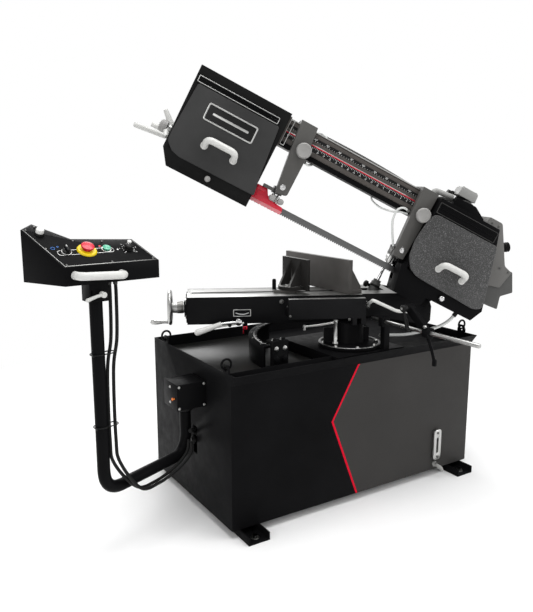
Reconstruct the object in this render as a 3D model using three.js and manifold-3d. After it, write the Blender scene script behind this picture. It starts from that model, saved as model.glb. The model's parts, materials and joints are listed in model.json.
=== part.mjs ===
// Horizontal mitring band saw on a coolant cabinet, with its control box on a swinging arm.
// Millimetres, +Z up. X runs along the cabinet, Y towards its back.
// The origin is on the floor, under the middle of the machine's overall box.
import * as THREE from 'three';
import { mergeVertices } from 'three/addons/utils/BufferGeometryUtils.js';
import Module from 'manifold-3d';

const wasm = await Module();
wasm.setup();

// ---- Driving dimensions ----
const GAP = 0.4; // running or resting gap between neighbouring pieces

// Middle of the cabinet, seen from the origin
const CABINET_X = 225;
const CABINET_Y = 186;

// Cabinet and chip tray
const CAB = { length: 1150, depth: 644, bottom: 30, rim: 586, wall: 5, tray: 541, lip: 28, lipDrop: 38 };

// Turret axis on the cabinet, and how far the bed and head are turned from the cabinet
const TURRET = { x: 35, y: -180 };
const MITRE = THREE.MathUtils.degToRad(-26);

// Vise bed
const BED = { left: -630, right: 49.6, depth: 212, bottom: 675, top: 780 };
const SCREW = { v: 105, z: 724, r: 9 };

// Head: hinge, raised angle, blade line and beam. Along, across and square to the blade
const HINGE = { u: 306, z: 743, r: 15 };
const RAISE = THREE.MathUtils.degToRad(27.2);
const HINGE_S = 381;
const HINGE_N = -66;
const BLADE = { v: -27, width: 27, thick: 1.2 };
const WHEEL = { r: 150, width: 32, idler: -608, drive: 342 };
const WHEEL_N = WHEEL.r + GAP + BLADE.thick - BLADE.width / 2;
const BEAM = { left: -430, right: 192, front: -50, back: 20, low: 195, top: 300 };
const HOUSE = { front: -104, back: -4, wall: 4, low: -56, top: 305 };

// Guide arms
const GUIDE = { half: 31, front: -80, left: -345, right: 160, roller: 9 };
const KNOB = { off: 10, n: 214 };

// Vise jaws, 133 mm tall, parallel to the cabinet's ends
const JAW = { height: 133, fixedLong: 442, moveX: -80.7, moveFrom: -72, moveLong: 173 };
const JAW_POST = { u: -212, v: 105, r: 58 };

// Feed cylinder between the swivel arm and the head
const FEED = { u: 81, z: 694, v: 130, topU: 190, topZ: 912, r: 20, rod: 7, tail: 55, stroke: 93, eye: 17 };

// Work-stop bar
const STOP = { x: 100, z: 690, from: -236, to: -760, r: 8 };

// Pendant arm and control box
const PENDANT = { x: -632, y: -84, run: 250, endX: -985, endY: -240, top: 900, r: 20 };
const PANEL = { x: -1084, y: -289, z: 920, turn: THREE.MathUtils.degToRad(7.2), front: 54, slope: 0.609 };
const PANEL_TILT = Math.atan(PANEL.slope);

// Facets round a full circle, by radius
const facets = (r) => (r > 100 ? 40 : r > 40 ? 28 : r > 20 ? 20 : r > 12 ? 16 : r > 7 ? 12 : 8);

// ---- Solids ----
function solidOf(geometry) {
  geometry.deleteAttribute('normal');
  geometry.deleteAttribute('uv');
  const merged = mergeVertices(geometry, 1e-4);
  return new wasm.Manifold(new wasm.Mesh({
    numProp: 3,
    vertProperties: new Float32Array(merged.attributes.position.array),
    triVerts: new Uint32Array(merged.index.array),
  }));
}

function geometryOf(solid) {
  const mesh = solid.getMesh();
  const geometry = new THREE.BufferGeometry();
  const points = new Float32Array(mesh.numVert * 3);
  for (let i = 0; i < mesh.numVert; i++)
    for (let k = 0; k < 3; k++) points[3 * i + k] = mesh.vertProperties[i * mesh.numProp + k];
  geometry.setAttribute('position', new THREE.BufferAttribute(points, 3));
  geometry.setIndex(new THREE.BufferAttribute(new Uint32Array(mesh.triVerts), 1));
  geometry.computeVertexNormals();
  return geometry;
}

const join = (first, ...rest) => rest.reduce((a, b) => a.add(b), first);
const cut = (first, ...rest) => rest.reduce((a, b) => a.subtract(b), first);

function block(x0, x1, y0, y1, z0, z1) {
  const g = new THREE.BoxGeometry(x1 - x0, y1 - y0, z1 - z0);
  return solidOf(g.translate((x0 + x1) / 2, (y0 + y1) / 2, (z0 + z1) / 2));
}

// Lays a shape that is built along +Z along another axis, keeping it right-handed
const LAY = {
  x: new THREE.Matrix4().set(0, 0, 1, 0, 1, 0, 0, 0, 0, 1, 0, 0, 0, 0, 0, 1),
  y: new THREE.Matrix4().set(0, 1, 0, 0, 0, 0, 1, 0, 1, 0, 0, 0, 0, 0, 0, 1),
  z: new THREE.Matrix4(),
};

// A round bar along an axis from a to b; the centre is the other two coordinates in order
function bar(axis, a, b, c1, c2, r, r2 = r) {
  const g = new THREE.CylinderGeometry(r2, r, b - a, facets(Math.max(r, r2)));
  g.rotateX(Math.PI / 2).translate(0, 0, (a + b) / 2);
  g.applyMatrix4(LAY[axis]);
  const shift = { x: [0, c1, c2], y: [c1, 0, c2], z: [c1, c2, 0] }[axis];
  return solidOf(g.translate(...shift));
}

// A flat outline pushed along an axis; its points are the other two coordinates in order
function plate(axis, points, a, b) {
  const order = axis === 'y' ? points.map(([x, z]) => [z, x]) : points;
  const shape = new THREE.Shape(order.map(([p, q]) => new THREE.Vector2(p, q)));
  const g = new THREE.ExtrudeGeometry(shape, { depth: b - a, bevelEnabled: false });
  g.translate(0, 0, a);
  return solidOf(g.applyMatrix4(LAY[axis]));
}

// A turned piece about an axis; the profile is [radius, place along the axis] pairs
function turned(axis, profile, c1, c2, sides) {
  const g = new THREE.LatheGeometry(profile.map(([r, h]) => new THREE.Vector2(r, h)), sides);
  g.rotateX(Math.PI / 2);
  g.applyMatrix4(LAY[axis]);
  const shift = { x: [0, c1, c2], y: [c1, 0, c2], z: [c1, c2, 0] }[axis];
  return solidOf(g.translate(...shift));
}

// A smooth curve through straight runs, with each corner rounded
function roundedPath(points, radius) {
  const path = new THREE.CurvePath();
  const v = points.map((p) => new THREE.Vector3(...p));
  let from = v[0];
  for (let i = 1; i < v.length - 1; i++) {
    const back = v[i - 1].clone().sub(v[i]).setLength(radius).add(v[i]);
    const on = v[i + 1].clone().sub(v[i]).setLength(radius).add(v[i]);
    path.add(new THREE.LineCurve3(from, back));
    path.add(new THREE.QuadraticBezierCurve3(back, v[i], on));
    from = on;
  }
  path.add(new THREE.LineCurve3(from, v[v.length - 1]));
  return path;
}

function ring2d(r, sides) {
  const points = [];
  for (let i = 0; i < sides; i++) {
    const a = (2 * Math.PI * i) / sides;
    points.push(new THREE.Vector2(r * Math.cos(a), r * Math.sin(a)));
  }
  return new THREE.Shape(points);
}

// A round tube or cord along a path
function pipe(path, r, sides, steps) {
  const settings = { steps, extrudePath: path, bevelEnabled: false };
  return solidOf(new THREE.ExtrudeGeometry(ring2d(r, sides), settings));
}

const rodBetween = (a, b, r, sides = 10) =>
  pipe(new THREE.LineCurve3(new THREE.Vector3(...a), new THREE.Vector3(...b)), r, sides, 1);

function ball(x, y, z, r, sides = 8) {
  return solidOf(new THREE.SphereGeometry(r, sides, Math.round(sides * 0.6)).translate(x, y, z));
}

// ---- Frames ----
const saw = new THREE.Group();
const base = new THREE.Group();
base.position.set(CABINET_X, CABINET_Y, 0);
saw.add(base);

const table = new THREE.Group();
table.position.set(TURRET.x, TURRET.y, 0);
table.rotation.z = MITRE;
base.add(table);

// The head's own coordinates: s along the blade, v across it, n square to it
const head = new THREE.Group();
head.position.set(HINGE.u, 0, HINGE.z);
head.rotation.y = RAISE;
table.add(head);
const bow = new THREE.Group();
bow.position.set(-HINGE_S, 0, -HINGE_N);
head.add(bow);

const pendantBox = new THREE.Group();
pendantBox.position.set(PANEL.x, PANEL.y, PANEL.z);
pendantBox.rotation.z = PANEL.turn;
base.add(pendantBox);

// Lies on the sloping panel: x to the right, y up the slope, z out of it
const panel = new THREE.Group();
panel.position.set(0, 0, PANEL.front);
panel.rotation.x = PANEL_TILT;
pendantBox.add(panel);

const FINISH = {
  black: [0x1c1c1d, 0.55, 0.2],
  grey: [0x3b3b3c, 0.5, 0.2],
  light: [0x9b9b99, 0.5, 0.1],
  steel: [0xb9b9b6, 0.35, 0.9],
  iron: [0x4a4846, 0.6, 0.6],
  arm: [0x5a5958, 0.5, 0.4],
  red: [0xd0122d, 0.45, 0.0],
  white: [0xdededb, 0.5, 0.0],
  green: [0x2f9a6c, 0.4, 0.0],
  rubber: [0x161616, 0.7, 0.0],
};

function piece(group, name, finish, solid) {
  const [color, roughness, metalness] = FINISH[finish];
  const material = new THREE.MeshStandardMaterial({ color, roughness, metalness });
  const mesh = new THREE.Mesh(geometryOf(solid), material);
  mesh.name = name;
  group.add(mesh);
}

// ---- Cabinet ----
function cabinet() {
  const { length, depth, bottom, rim, wall, tray, lip, lipDrop } = CAB;
  const x = length / 2;
  const y = depth / 2;
  const low = rim - lipDrop;
  let body = block(-x, x, -y, y, bottom, rim);
  body = cut(body, block(-x + wall, x - wall, -y + wall, y - wall, bottom + wall, tray - wall));
  body = cut(body, block(-x + 45, x - 45, -y + 45, y - 45, bottom - 1, bottom + wall + 1));
  body = cut(body, block(-x + wall, x - wall, -y - 1, y - wall, low, rim + 1));
  body = cut(body, block(-x + wall, x - wall, -y + wall, y - wall, tray, low + 1));
  const flare = plate('x', [[-y, low], [-y + wall, low], [-y - lip + wall, rim], [-y - lip, rim]], -x, x);
  const ear = [[-y, low], [-y + 1, rim], [-y - lip, rim]];
  body = join(body, flare, plate('x', ear, -x, -x + wall), plate('x', ear, x - wall, x));
  body = join(body, block(-x + 18, -130, -y + 38, -y + 41, tray - 1, rim - 4));
  body = cut(body, block(-x - 1, -x + wall + 1, -58, -28, 218, 325));
  const lug = (cx, cy) => {
    const outline = [[-20, -30], [20, -30], [20, 12], [12, 30], [-12, 30], [-20, 12]];
    const plane = outline.map(([a, b]) => [cy + a, rim + b]);
    return cut(plate('x', plane, cx - 3, cx + 3), bar('x', cx - 5, cx + 5, cy, rim + 14, 8.5));
  };
  const at = x - 3;
  return join(body, lug(-at, 207), lug(-at, -287), lug(at, -268), lug(at, 207));
}

function foot(side, end) {
  const cx = side * (CAB.length / 2 - 70);
  const edge = end * (CAB.depth / 2 + 66);
  const inner = end * (CAB.depth / 2 - 90);
  const [y0, y1] = [Math.min(edge, inner), Math.max(edge, inner)];
  const top = CAB.bottom - GAP;
  const web = block(cx - 42, cx + 42, y0, y1, 0, 6);
  const flange = (x) => block(x, x + 6, y0, y1, 0, top);
  const bolt = bar('z', 5, 17, cx, end * (CAB.depth / 2 + 34), 10);
  return join(web, flange(cx - 42), flange(cx + 36), bolt);
}

function sightGauge() {
  const y = -CAB.depth / 2 - GAP;
  const frame = block(370, 412, y - 11, y, 75, 205);
  return cut(frame, block(384, 398, y - 12, y - 4, 98, 178));
}

// Turret base: a ribbed casting on the tray floor, with a post that carries the work-stop bar
function pedestal() {
  const z0 = CAB.tray + GAP;
  const z1 = 580;
  let body = block(-125, 200, -314, 60, z0, z1);
  body = cut(body, block(-92, -10, -316, -30, z0 - 1, z1 - 10), block(60, 150, -280, 40, z0 - 1, z1 - 10));
  const post = block(96, 122, -314, -292, z1 - 5, STOP.z + 16);
  const hub = block(84, 122, -314, -292, STOP.z - 18, STOP.z + 16);
  const pivot = bar('z', z1 - 5, z1 + 60, TURRET.x, TURRET.y, 24);
  return cut(join(body, post, hub, pivot), bar('y', -330, -280, STOP.x, STOP.z, STOP.r + GAP));
}

// Mitre scale: a curved wall round the turret axis
function mitreArc() {
  const arc = (r, z0, z1) => {
    const points = [];
    const from = THREE.MathUtils.degToRad(112);
    const to = THREE.MathUtils.degToRad(180);
    for (let i = 0; i <= 20; i++) {
      const a = from + ((to - from) * i) / 20;
      points.push([TURRET.x + r[1] * Math.cos(a), TURRET.y + r[1] * Math.sin(a)]);
    }
    for (let i = 20; i >= 0; i--) {
      const a = from + ((to - from) * i) / 20;
      points.push([TURRET.x + r[0] * Math.cos(a), TURRET.y + r[0] * Math.sin(a)]);
    }
    return plate('z', points, z0, z1);
  };
  const z0 = CAB.tray + GAP;
  return join(arc([365, 395], 618, 626), arc([387, 395], z0, 620), arc([365, 395], z0, z0 + 8));
}

function squareStop() {
  const x = TURRET.x - 385;
  const z0 = CAB.tray + GAP;
  const wall = block(x, x + 66, -228, -206, z0, 650);
  const foot = block(x, x + 70, -262, -200, z0, z0 + 10);
  const top = block(x, x + 66, -228, -186, 640, 652);
  const bolts = [14, 50].map((d) => bar('z', 650, 660, x + d, -216, 8));
  const hex = [14, 50].map((d) => bar('y', -236, -227, x + d, 585, 11));
  return join(wall, foot, top, ...bolts, ...hex);
}

const stopBar = () => bar('y', STOP.to, STOP.from, STOP.x, STOP.z, STOP.r);

function stopArm() {
  const y = -533;
  const { x, z, r } = STOP;
  const hub = bar('y', y - 14, y + 14, x, z, 20);
  const upper = bar('x', x - 16, x + 16, y + 96, z + 74, 15);
  const side = [[y - 8, z + 8], [y + 12, z - 10], [y + 108, z + 64], [y + 88, z + 86]];
  const link = plate('x', side, x - 9, x + 9);
  const tip = rodBetween([x, y, z - 12], [x, y - 36, z - 98], 6);
  const face = bar('z', z - 108, z - 92, x, y - 36, 10);
  return cut(join(hub, upper, link, tip, face), bar('y', y - 20, y + 90, x, z, r + GAP));
}

function stopLever() {
  const x = STOP.x - 16 - GAP;
  const y = -437;
  const z = STOP.z + 74;
  const boss = bar('x', x - 22, x, y, z, 12);
  const arm = rodBetween([x - 14, y, z], [x - 14, y - 24, z - 66], 6);
  return join(boss, arm, ball(x - 14, y - 26, z - 72, 9));
}

// ---- Turning bed and swivel arm, in the table's frame ----
function turntable() {
  const z0 = 580 + GAP;
  const disc = bar('z', z0, 594, 0, 0, 122);
  const column = bar('z', 590, BED.bottom - GAP, 0, 12, 58);
  const rib = block(-100, 80, 4, 20, 594 - 2, 650);
  return cut(join(disc, column, rib), bar('z', z0 - 1, 645, 0, 0, 24 + GAP));
}

function bed() {
  const { left, right, depth, bottom, top } = BED;
  let body = block(left, right, 0, depth, bottom, top);
  body = cut(body, block(left + 18, -28, SCREW.v - 11, SCREW.v + 11, 750, top + 1));
  body = cut(body, block(left + 18, -28, SCREW.v - 25, SCREW.v + 25, 698, 752));
  body = cut(body, block(left + 20, -100, 14, SCREW.v - 37, bottom - 1, 764));
  body = cut(body, block(left + 20, -100, SCREW.v + 37, depth - 14, bottom - 1, 764));
  const bracket = block(left - 12, left + 1, SCREW.v - 34, SCREW.v + 34, 692, 758);
  const stem = block(-418, -400, 4, 38, 648, bottom + 1);
  const pointer = plate('x', [[4, 649], [21, 630], [38, 649]], -414, -400);
  body = join(body, bracket, stem, pointer);
  return cut(body, bar('x', left - 20, left + 30, SCREW.v, SCREW.z, SCREW.r + GAP));
}

// Rest block in front of the blade, tied to the bed under the blade slot
function frontBlock() {
  const rest = block(-252, 44, -80, -54, 702, BED.top);
  const tie = block(-252, -200, -56, -GAP, 702, 742);
  const flange = block(26, 44, -80, -GAP, 676, 766);
  const second = block(-8, 10, -80, -GAP, 676, 742);
  return cut(join(rest, tie, flange, second), block(-190, -20, -75, -60, 700, 765));
}

function swivelArm() {
  const u0 = 50;
  const outline = [[u0, 690], [87, 690], [318, 651], [332, 668], [334, 724], [326, 748]];
  outline.push([314, 764], [298, 766], [280, 762], [190, BED.top], [u0, BED.top]);
  const cheek = (v) => plate('y', outline, v, v + 14);
  const top = block(u0, 190, 20, 250, 768, BED.top);
  const wall = block(u0, 62, 20, 250, 690, BED.top);
  const nose = plate('y', [[215, 676], [225, 665], [300, 653], [300, 664]], 20, 250);
  const lug = (v) => block(u0 + 8, FEED.u + 15, v, v + 8, FEED.z - 15, FEED.z + 15);
  let body = join(cheek(20), cheek(236), top, wall, nose, lug(100), lug(152));
  body = cut(body, block(74, 162, 102, 158, 760, BED.top + 1));
  body = cut(body, bar('y', 90, 170, FEED.u, FEED.z, 8 + GAP));
  return cut(body, bar('y', 10, 260, HINGE.u, HINGE.z, HINGE.r + GAP));
}

function mitreLever() {
  const [u, v, z] = [-436, -24, 686];
  const boss = bar('y', v - 6, -GAP, u, z, 13);
  const arm = rodBetween([u, v, z], [u - 70, v - 6, z - 3], 6);
  const grip = rodBetween([u - 66, v - 6, z - 2], [u - 156, v - 12, z - 34], 11, 14);
  return join(boss, arm, grip, ball(u - 156, v - 12, z - 34, 12));
}

function jawLever() {
  const [u, v, z] = [66, 20 - GAP, 740];
  const boss = bar('y', v - 34, v, u, z, 12);
  const out = v - 132;
  const corners = [[u, v - 26, z], [u - 6, out, z + 38], [u + 88, out, z - 6], [u + 128, out, z - 8]];
  return join(boss, pipe(roundedPath(corners, 14), 6, 8, 16));
}

// ---- Vise ----
function handwheel() {
  const x = BED.left - 12 - GAP;
  const rimX = BED.left - 68;
  const section = [[52, -7], [66, -9], [70, 0], [66, 9], [52, 7], [52, -7]].map(([r, h]) => [r, rimX + h]);
  const rim = turned('x', section, SCREW.v, SCREW.z, 28);
  const web = bar('x', rimX - 3, rimX + 3, SCREW.v, SCREW.z, 54);
  const hub = bar('x', rimX - 8, x, SCREW.v, SCREW.z, 17);
  const collar = bar('x', x - 30, x, SCREW.v, SCREW.z, 24);
  const windows = [0, 1, 2].map((i) => {
    const a = (i * 2 * Math.PI) / 3 + 0.5;
    return bar('x', rimX - 5, rimX + 5, SCREW.v + 34 * Math.cos(a), SCREW.z + 34 * Math.sin(a), 13);
  });
  const pin = bar('x', rimX - 80, rimX, SCREW.v + 6, SCREW.z - 58, 5);
  const body = cut(join(rim, web), ...windows);
  return cut(join(body, hub, collar, pin), bar('x', rimX - 4, x + 1, SCREW.v, SCREW.z, SCREW.r + GAP / 2));
}

function handwheelGrip() {
  const x = BED.left - 68 - 10;
  const bore = 5 + GAP;
  const outer = [[bore, -66], [9, -66], [11, -56], [9, -20], [10, 0], [bore, 0], [bore, -66]];
  const profile = outer.map(([r, h]) => [r, x + h]);
  return turned('x', profile, SCREW.v + 6, SCREW.z - 58, 14);
}

const leadScrew = () => bar('x', BED.left - 69, -30, SCREW.v, SCREW.z, SCREW.r);

function viseCarriage() {
  const { u, v } = JAW_POST;
  const top = BED.top + GAP;
  const slab = block(u - 78, u + 12, v - 34, v + 34, top, top + 11);
  const neck = block(u - 60, u + 8, v - 10, v + 10, 748, top + 1);
  const nut = block(u - 60, u + 8, v - 22, v + 22, 700, 749);
  const post = bar('z', top + 10, top + 27, u, v, 14);
  const body = join(slab, neck, nut, post);
  return cut(body, bar('x', u - 90, u + 30, SCREW.v, SCREW.z, SCREW.r + GAP));
}

// The jaws stay parallel to the cabinet's ends, so they are drawn in the cabinet's frame
function jawPivot() {
  const p = new THREE.Vector3(JAW_POST.u, JAW_POST.v, 0).applyAxisAngle(new THREE.Vector3(0, 0, 1), MITRE);
  return [p.x + TURRET.x, p.y + TURRET.y];
}

function movableJaw() {
  const [px, py] = jawPivot();
  const z0 = BED.top + GAP + 11 + GAP;
  const face = JAW.moveX;
  const [y0, y1] = [JAW.moveFrom, JAW.moveFrom + JAW.moveLong];
  const top = BED.top + JAW.height;
  const jaw = block(face - 15, face, y0, y1, z0, top);
  const disc = bar('z', z0, z0 + 14, px, py, JAW_POST.r);
  const trim = block(face, face + 60, y0 - 10, y1 + 10, z0 - 1, z0 + 40);
  const web = [[face - 14, z0], [px - 42, z0], [px - 36, z0 + 22], [face - 14, top - 6]];
  const rib = (y) => plate('y', web, y, y + 12);
  const body = join(cut(disc, trim), jaw, rib(py - 40), rib(py + 28));
  return cut(body, bar('z', z0 - 1, z0 + 40, px, py, 14 + GAP));
}

function fixedJaw() {
  const z0 = BED.top + GAP;
  const x = TURRET.x;
  const y0 = TURRET.y + 10;
  const jaw = block(x, x + 18, y0, y0 + JAW.fixedLong, z0, BED.top + JAW.height);
  const foot = block(x, x + 66, y0, y0 + 150, z0, z0 + 14);
  const web = [[x + 17, z0], [x + 64, z0], [x + 64, z0 + 26], [x + 17, z0 + 100]];
  const rib = (y) => plate('y', web, y, y + 12);
  const boss = bar('z', z0, z0 + 24, x + 38, y0 + 34, 12);
  const stud = block(x + 16, x + 30, y0 + 210, y0 + 230, z0 + 40, z0 + 90);
  return join(jaw, foot, rib(y0 + 4), rib(y0 + 64), rib(y0 + 132), boss, stud);
}

// ---- Head, in the bow's frame ----
// Moves every edge of an outline inwards by the same distance
function insetOutline(points, by) {
  const turn = points.reduce((sum, [a, b], i) => {
    const [p, q] = points[(i + 1) % points.length];
    return sum + a * q - b * p;
  }, 0);
  const lines = points.map((p, i) => {
    const q = points[(i + 1) % points.length];
    const d = [q[0] - p[0], q[1] - p[1]];
    const step = (Math.sign(turn) * by) / Math.hypot(...d);
    return { p: [p[0] - d[1] * step, p[1] + d[0] * step], d };
  });
  return lines.map((b, i) => {
    const a = lines[(i + lines.length - 1) % lines.length];
    const det = a.d[0] * b.d[1] - a.d[1] * b.d[0];
    const t = ((b.p[0] - a.p[0]) * b.d[1] - (b.p[1] - a.p[1]) * b.d[0]) / det;
    return [a.p[0] + a.d[0] * t, a.p[1] + a.d[1] * t];
  });
}

function idlerHousing() {
  const { front, back, wall, low, top } = HOUSE;
  const outline = [[-782, 0], [-745, low], [-431, low], [-431, top], [-782, top]];
  const opening = [[-762, 8], [-452, 8], [-468, 236], [-756, 236]];
  const inside = plate('y', insetOutline(outline, wall), front + wall, back - wall);
  let body = cut(plate('y', outline, front, back), inside);
  body = cut(body, plate('y', opening, front - 1, front + wall + 1));
  const bulge = cut(block(-725, -500, back - 1, 58, 28, 210), block(-721, -504, back - 2, 54, 32, 206));
  body = join(cut(body, block(-700, -520, back - wall - 1, back + 1, 40, 200)), bulge);
  const runs = join(block(-440, -420, -58, -9, -44, 24), block(-440, -420, -46, -9, 276, 299));
  return cut(body, bar('x', -800, -700, 22, 67, 9), runs);
}

// The drive housing is set back beside the right guide arm, which slides past it
const DRIVE_RIGHT = [[455, 300], [485, 217], [552, 0], [528, -50]];
const DRIVE_LOWER = [...DRIVE_RIGHT, [330, -50], [322, -84], [204, -84], [180, 20]];

function driveHousing() {
  const { front, back, wall } = HOUSE;
  const step = BEAM.front;
  const fore = [...DRIVE_LOWER, [199, 32], [199, 300]];
  const rear = [...DRIVE_LOWER, [184, 60], [184, 188], [193, 191], [193, 300]];
  let body = join(plate('y', fore, front, step + 1), plate('y', rear, step, back));
  body = cut(body, plate('y', insetOutline(fore, wall), front + wall, back - wall));
  body = cut(body, plate('y', insetOutline(rear, wall), step + wall, back - wall));
  body = cut(body, plate('y', [[207, 14], [505, 14], [432, 234], [207, 234]], front - 1, front + wall + 1));
  const runs = join(block(170, 214, -42, -9, -44, 18), block(185, 215, -46, -9, 276, 299));
  return cut(body, runs, bar('y', -20, 10, WHEEL.drive, WHEEL_N, HINGE.r + 12));
}

const door = (outline) => plate('y', outline, HOUSE.front - 10, HOUSE.front - GAP);

function idlerDoor() {
  const sides = [[-436, 60], [-440, 115], [-452, 250], [-765, 250]];
  return door([[-777, 62], [-776, 25], [-750, 0], [-718, -9], [-424, -9], ...sides]);
}

function driveDoor() {
  const sides = [[515, -3], [530, 27], [494, 122], [434, 246], [216, 246], [200, 235], [186, 180]];
  return door([[180, 119], [190, 56], [217, 18], [250, 4], [290, 1], ...sides]);
}

function beam() {
  const { left, right, front, back, low, top } = BEAM;
  let body = block(left, right, front, back, low, top);
  body = cut(body, block(left - 1, right + 1, front + 6, back - 6, low + 6, top - 6));
  const recess = (n0, n1) => block(left + 14, right + 1, front - 1, front + 2, n0, n1);
  const endPlate = block(left, left + 10, front - 6, back + 8, low - 6, top + 4);
  const window = block(left - 1, left + 11, front + 6, back - 6, low + 6, top - 6);
  return cut(join(cut(body, recess(218, 244), recess(262, 280)), endPlate), window);
}

// Blade loop: flat round the wheels, turned upright between the guides
function bladeLoop() {
  const mid = WHEEL.r + GAP + BLADE.thick / 2;
  const stations = [];
  const add = (s, n, along, turn) => stations.push({ s, n, along, turn });
  const low = WHEEL_N - mid;
  const high = WHEEL_N + mid;
  const ease = (t) => t * t * (3 - 2 * t);
  const left = [WHEEL.idler, -410];
  const right = [225, WHEEL.drive];
  const quarter = Math.PI / 2;
  const steps = 16;
  const twist = ([from, to], turnAt) => {
    for (let i = 0; i <= steps; i++) {
      const t = i / steps;
      add(from + (to - from) * t, low, 0, quarter * turnAt(t));
    }
  };
  twist(left, ease);
  twist(right, (t) => 1 - ease(t));
  const turns = 24;
  for (let i = 1; i < turns; i++) {
    const a = (Math.PI * i) / turns;
    add(WHEEL.drive + mid * Math.sin(a), WHEEL_N - mid * Math.cos(a), a, 0);
  }
  add(WHEEL.drive, high, Math.PI, 0);
  add(WHEEL.idler, high, Math.PI, 0);
  for (let i = 1; i < turns; i++) {
    const a = (Math.PI * i) / turns;
    add(WHEEL.idler - mid * Math.sin(a), WHEEL_N + mid * Math.cos(a), Math.PI + a, 0);
  }
  const points = [];
  for (const { s, n, along, turn } of stations) {
    const inward = [-Math.sin(along), Math.cos(along)];
    const wide = new THREE.Vector3(inward[0] * Math.sin(turn), Math.cos(turn), inward[1] * Math.sin(turn));
    const thin = new THREE.Vector3(inward[0] * Math.cos(turn), -Math.sin(turn), inward[1] * Math.cos(turn));
    for (const [a, b] of [[-1, -1], [1, -1], [1, 1], [-1, 1]]) {
      const w = (a * BLADE.width) / 2;
      const t = (b * BLADE.thick) / 2;
      const corner = new THREE.Vector3(s, BLADE.v, n).addScaledVector(wide, w).addScaledVector(thin, t);
      points.push(...corner);
    }
  }
  const faces = [];
  const count = stations.length;
  for (let i = 0; i < count; i++) {
    const j = (i + 1) % count;
    for (let k = 0; k < 4; k++) {
      const m = (k + 1) % 4;
      const [a, b, c, d] = [4 * i + k, 4 * i + m, 4 * j + m, 4 * j + k];
      // The two wide faces are split along the same diagonal, so they stay apart where the band twists
      if (k < 2) faces.push(a, c, d, a, b, c);
      else faces.push(a, b, d, b, c, d);
    }
  }
  const geometry = new THREE.BufferGeometry();
  geometry.setAttribute('position', new THREE.BufferAttribute(new Float32Array(points), 3));
  geometry.setIndex(faces);
  return solidOf(geometry);
}

function wheelSolid(s) {
  const { r, width } = WHEEL;
  const [v0, v1] = [BLADE.v - width / 2, BLADE.v + width / 2];
  const [inner, hubR, bore] = [r - 14, 40, HINGE.r + GAP];
  const rim = [[inner, v0], [r, v0], [r, v1], [inner, v1]];
  const backWeb = [[inner, BLADE.v + 5], [hubR, BLADE.v + 5], [hubR, v1 - 2], [bore, v1 - 2]];
  const frontWeb = [[bore, v0 + 2], [hubR, v0 + 2], [hubR, BLADE.v - 5], [inner, BLADE.v - 5]];
  return turned('y', [...rim, ...backWeb, ...frontWeb, rim[0]], s, WHEEL_N, 36);
}

// The drive wheel is keyed to its shaft, which runs back into the gearbox
function driveWheel() {
  const s = WHEEL.drive;
  const shaft = bar('y', -54, 56, s, WHEEL_N, HINGE.r);
  const cap = bar('y', -54, -46, s, WHEEL_N, 26);
  const key = bar('y', BLADE.v - 12, BLADE.v + 12, s, WHEEL_N, HINGE.r + 6);
  return join(wheelSolid(s), key, shaft, cap);
}

function idlerSlide() {
  const s = WHEEL.idler;
  const carrier = block(s - 44, s + 44, HOUSE.back + GAP, 46, 40, WHEEL_N + 44);
  const axle = bar('y', -54, 10, s, WHEEL_N, HINGE.r);
  const cap = bar('y', -56, -47, s, WHEEL_N, 26);
  return cut(join(carrier, axle, cap), bar('x', s - 50, s - 6, 22, 67, 8 + GAP));
}

function tensionHandle() {
  const [v, n] = [22, 67];
  const tip = WHEEL.idler - 12;
  const rod = bar('x', -830, tip, v, n, 8);
  const washers = bar('x', -797, -783 - GAP, v, n, 19);
  const hub = bar('x', -836, -806, v, n, 17);
  const spokes = [250, 10, 130].map((deg) => {
    const a = THREE.MathUtils.degToRad(deg);
    const out = [-72, 74 * Math.cos(a), 74 * Math.sin(a)];
    const end = [-822 + out[0], v + out[1], n + out[2]];
    return join(rodBetween([-818, v, n], end, 5, 8), ball(...end, 11));
  });
  return join(rod, washers, hub, ...spokes);
}

// Head hinge: a barrel between the arm's cheeks, webs up to the gearbox, and its trunnions
function hingeBracket() {
  const [s, n] = [HINGE_S, HINGE_N];
  const barrel = bar('y', 36, 234, s, n, 27);
  const trunnions = bar('y', 18, 252, s, n, HINGE.r);
  const outline = [[s - 25, n - 8], [s + 25, n - 8], [s + 70, 38], [s - 70, 38]];
  const web = (v) => plate('y', outline, v, v + 14);
  const top = block(s - 70, s + 70, 40, 230, 27, 39 - GAP);
  return join(barrel, trunnions, web(52), web(204), top);
}

function gearbox() {
  const v0 = HOUSE.back + GAP;
  const body = block(240, 452, v0, 150, 39, 214);
  const flange = block(205, 240.5, v0, 14, 60, 200);
  const foot = block(300, 462, 36, 234, 39, 52);
  const drop = plate('y', [[190, 78], [200, 20], [242, 44], [242, 110]], FEED.v - 34, FEED.v - 26);
  const drop2 = plate('y', [[190, 78], [200, 20], [242, 44], [242, 110]], FEED.v + 26, FEED.v + 34);
  const tie = block(240, 300, 140, FEED.v + 34, 40, 110);
  const box = join(body, flange, foot, drop, drop2, tie);
  return cut(box, bar('y', v0 - 1, 62, WHEEL.drive, WHEEL_N, HINGE.r + GAP));
}

// Motor with its terminal box and end bell, on top of the gearbox
function motor() {
  const barrel = bar('y', 30, 290, 356, 292, 77);
  const bell = bar('y', 288, 318, 356, 292, 62);
  const box = block(300, 404, 60, 160, 340, 392);
  const fins = [];
  for (let i = 0; i < 6; i++) fins.push(block(412, 446, 70 + 34 * i, 78 + 34 * i, 258, 328));
  return cut(join(barrel, bell, box, ...fins), block(260, 460, 20, 320, 200, 214 + GAP));
}

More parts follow.
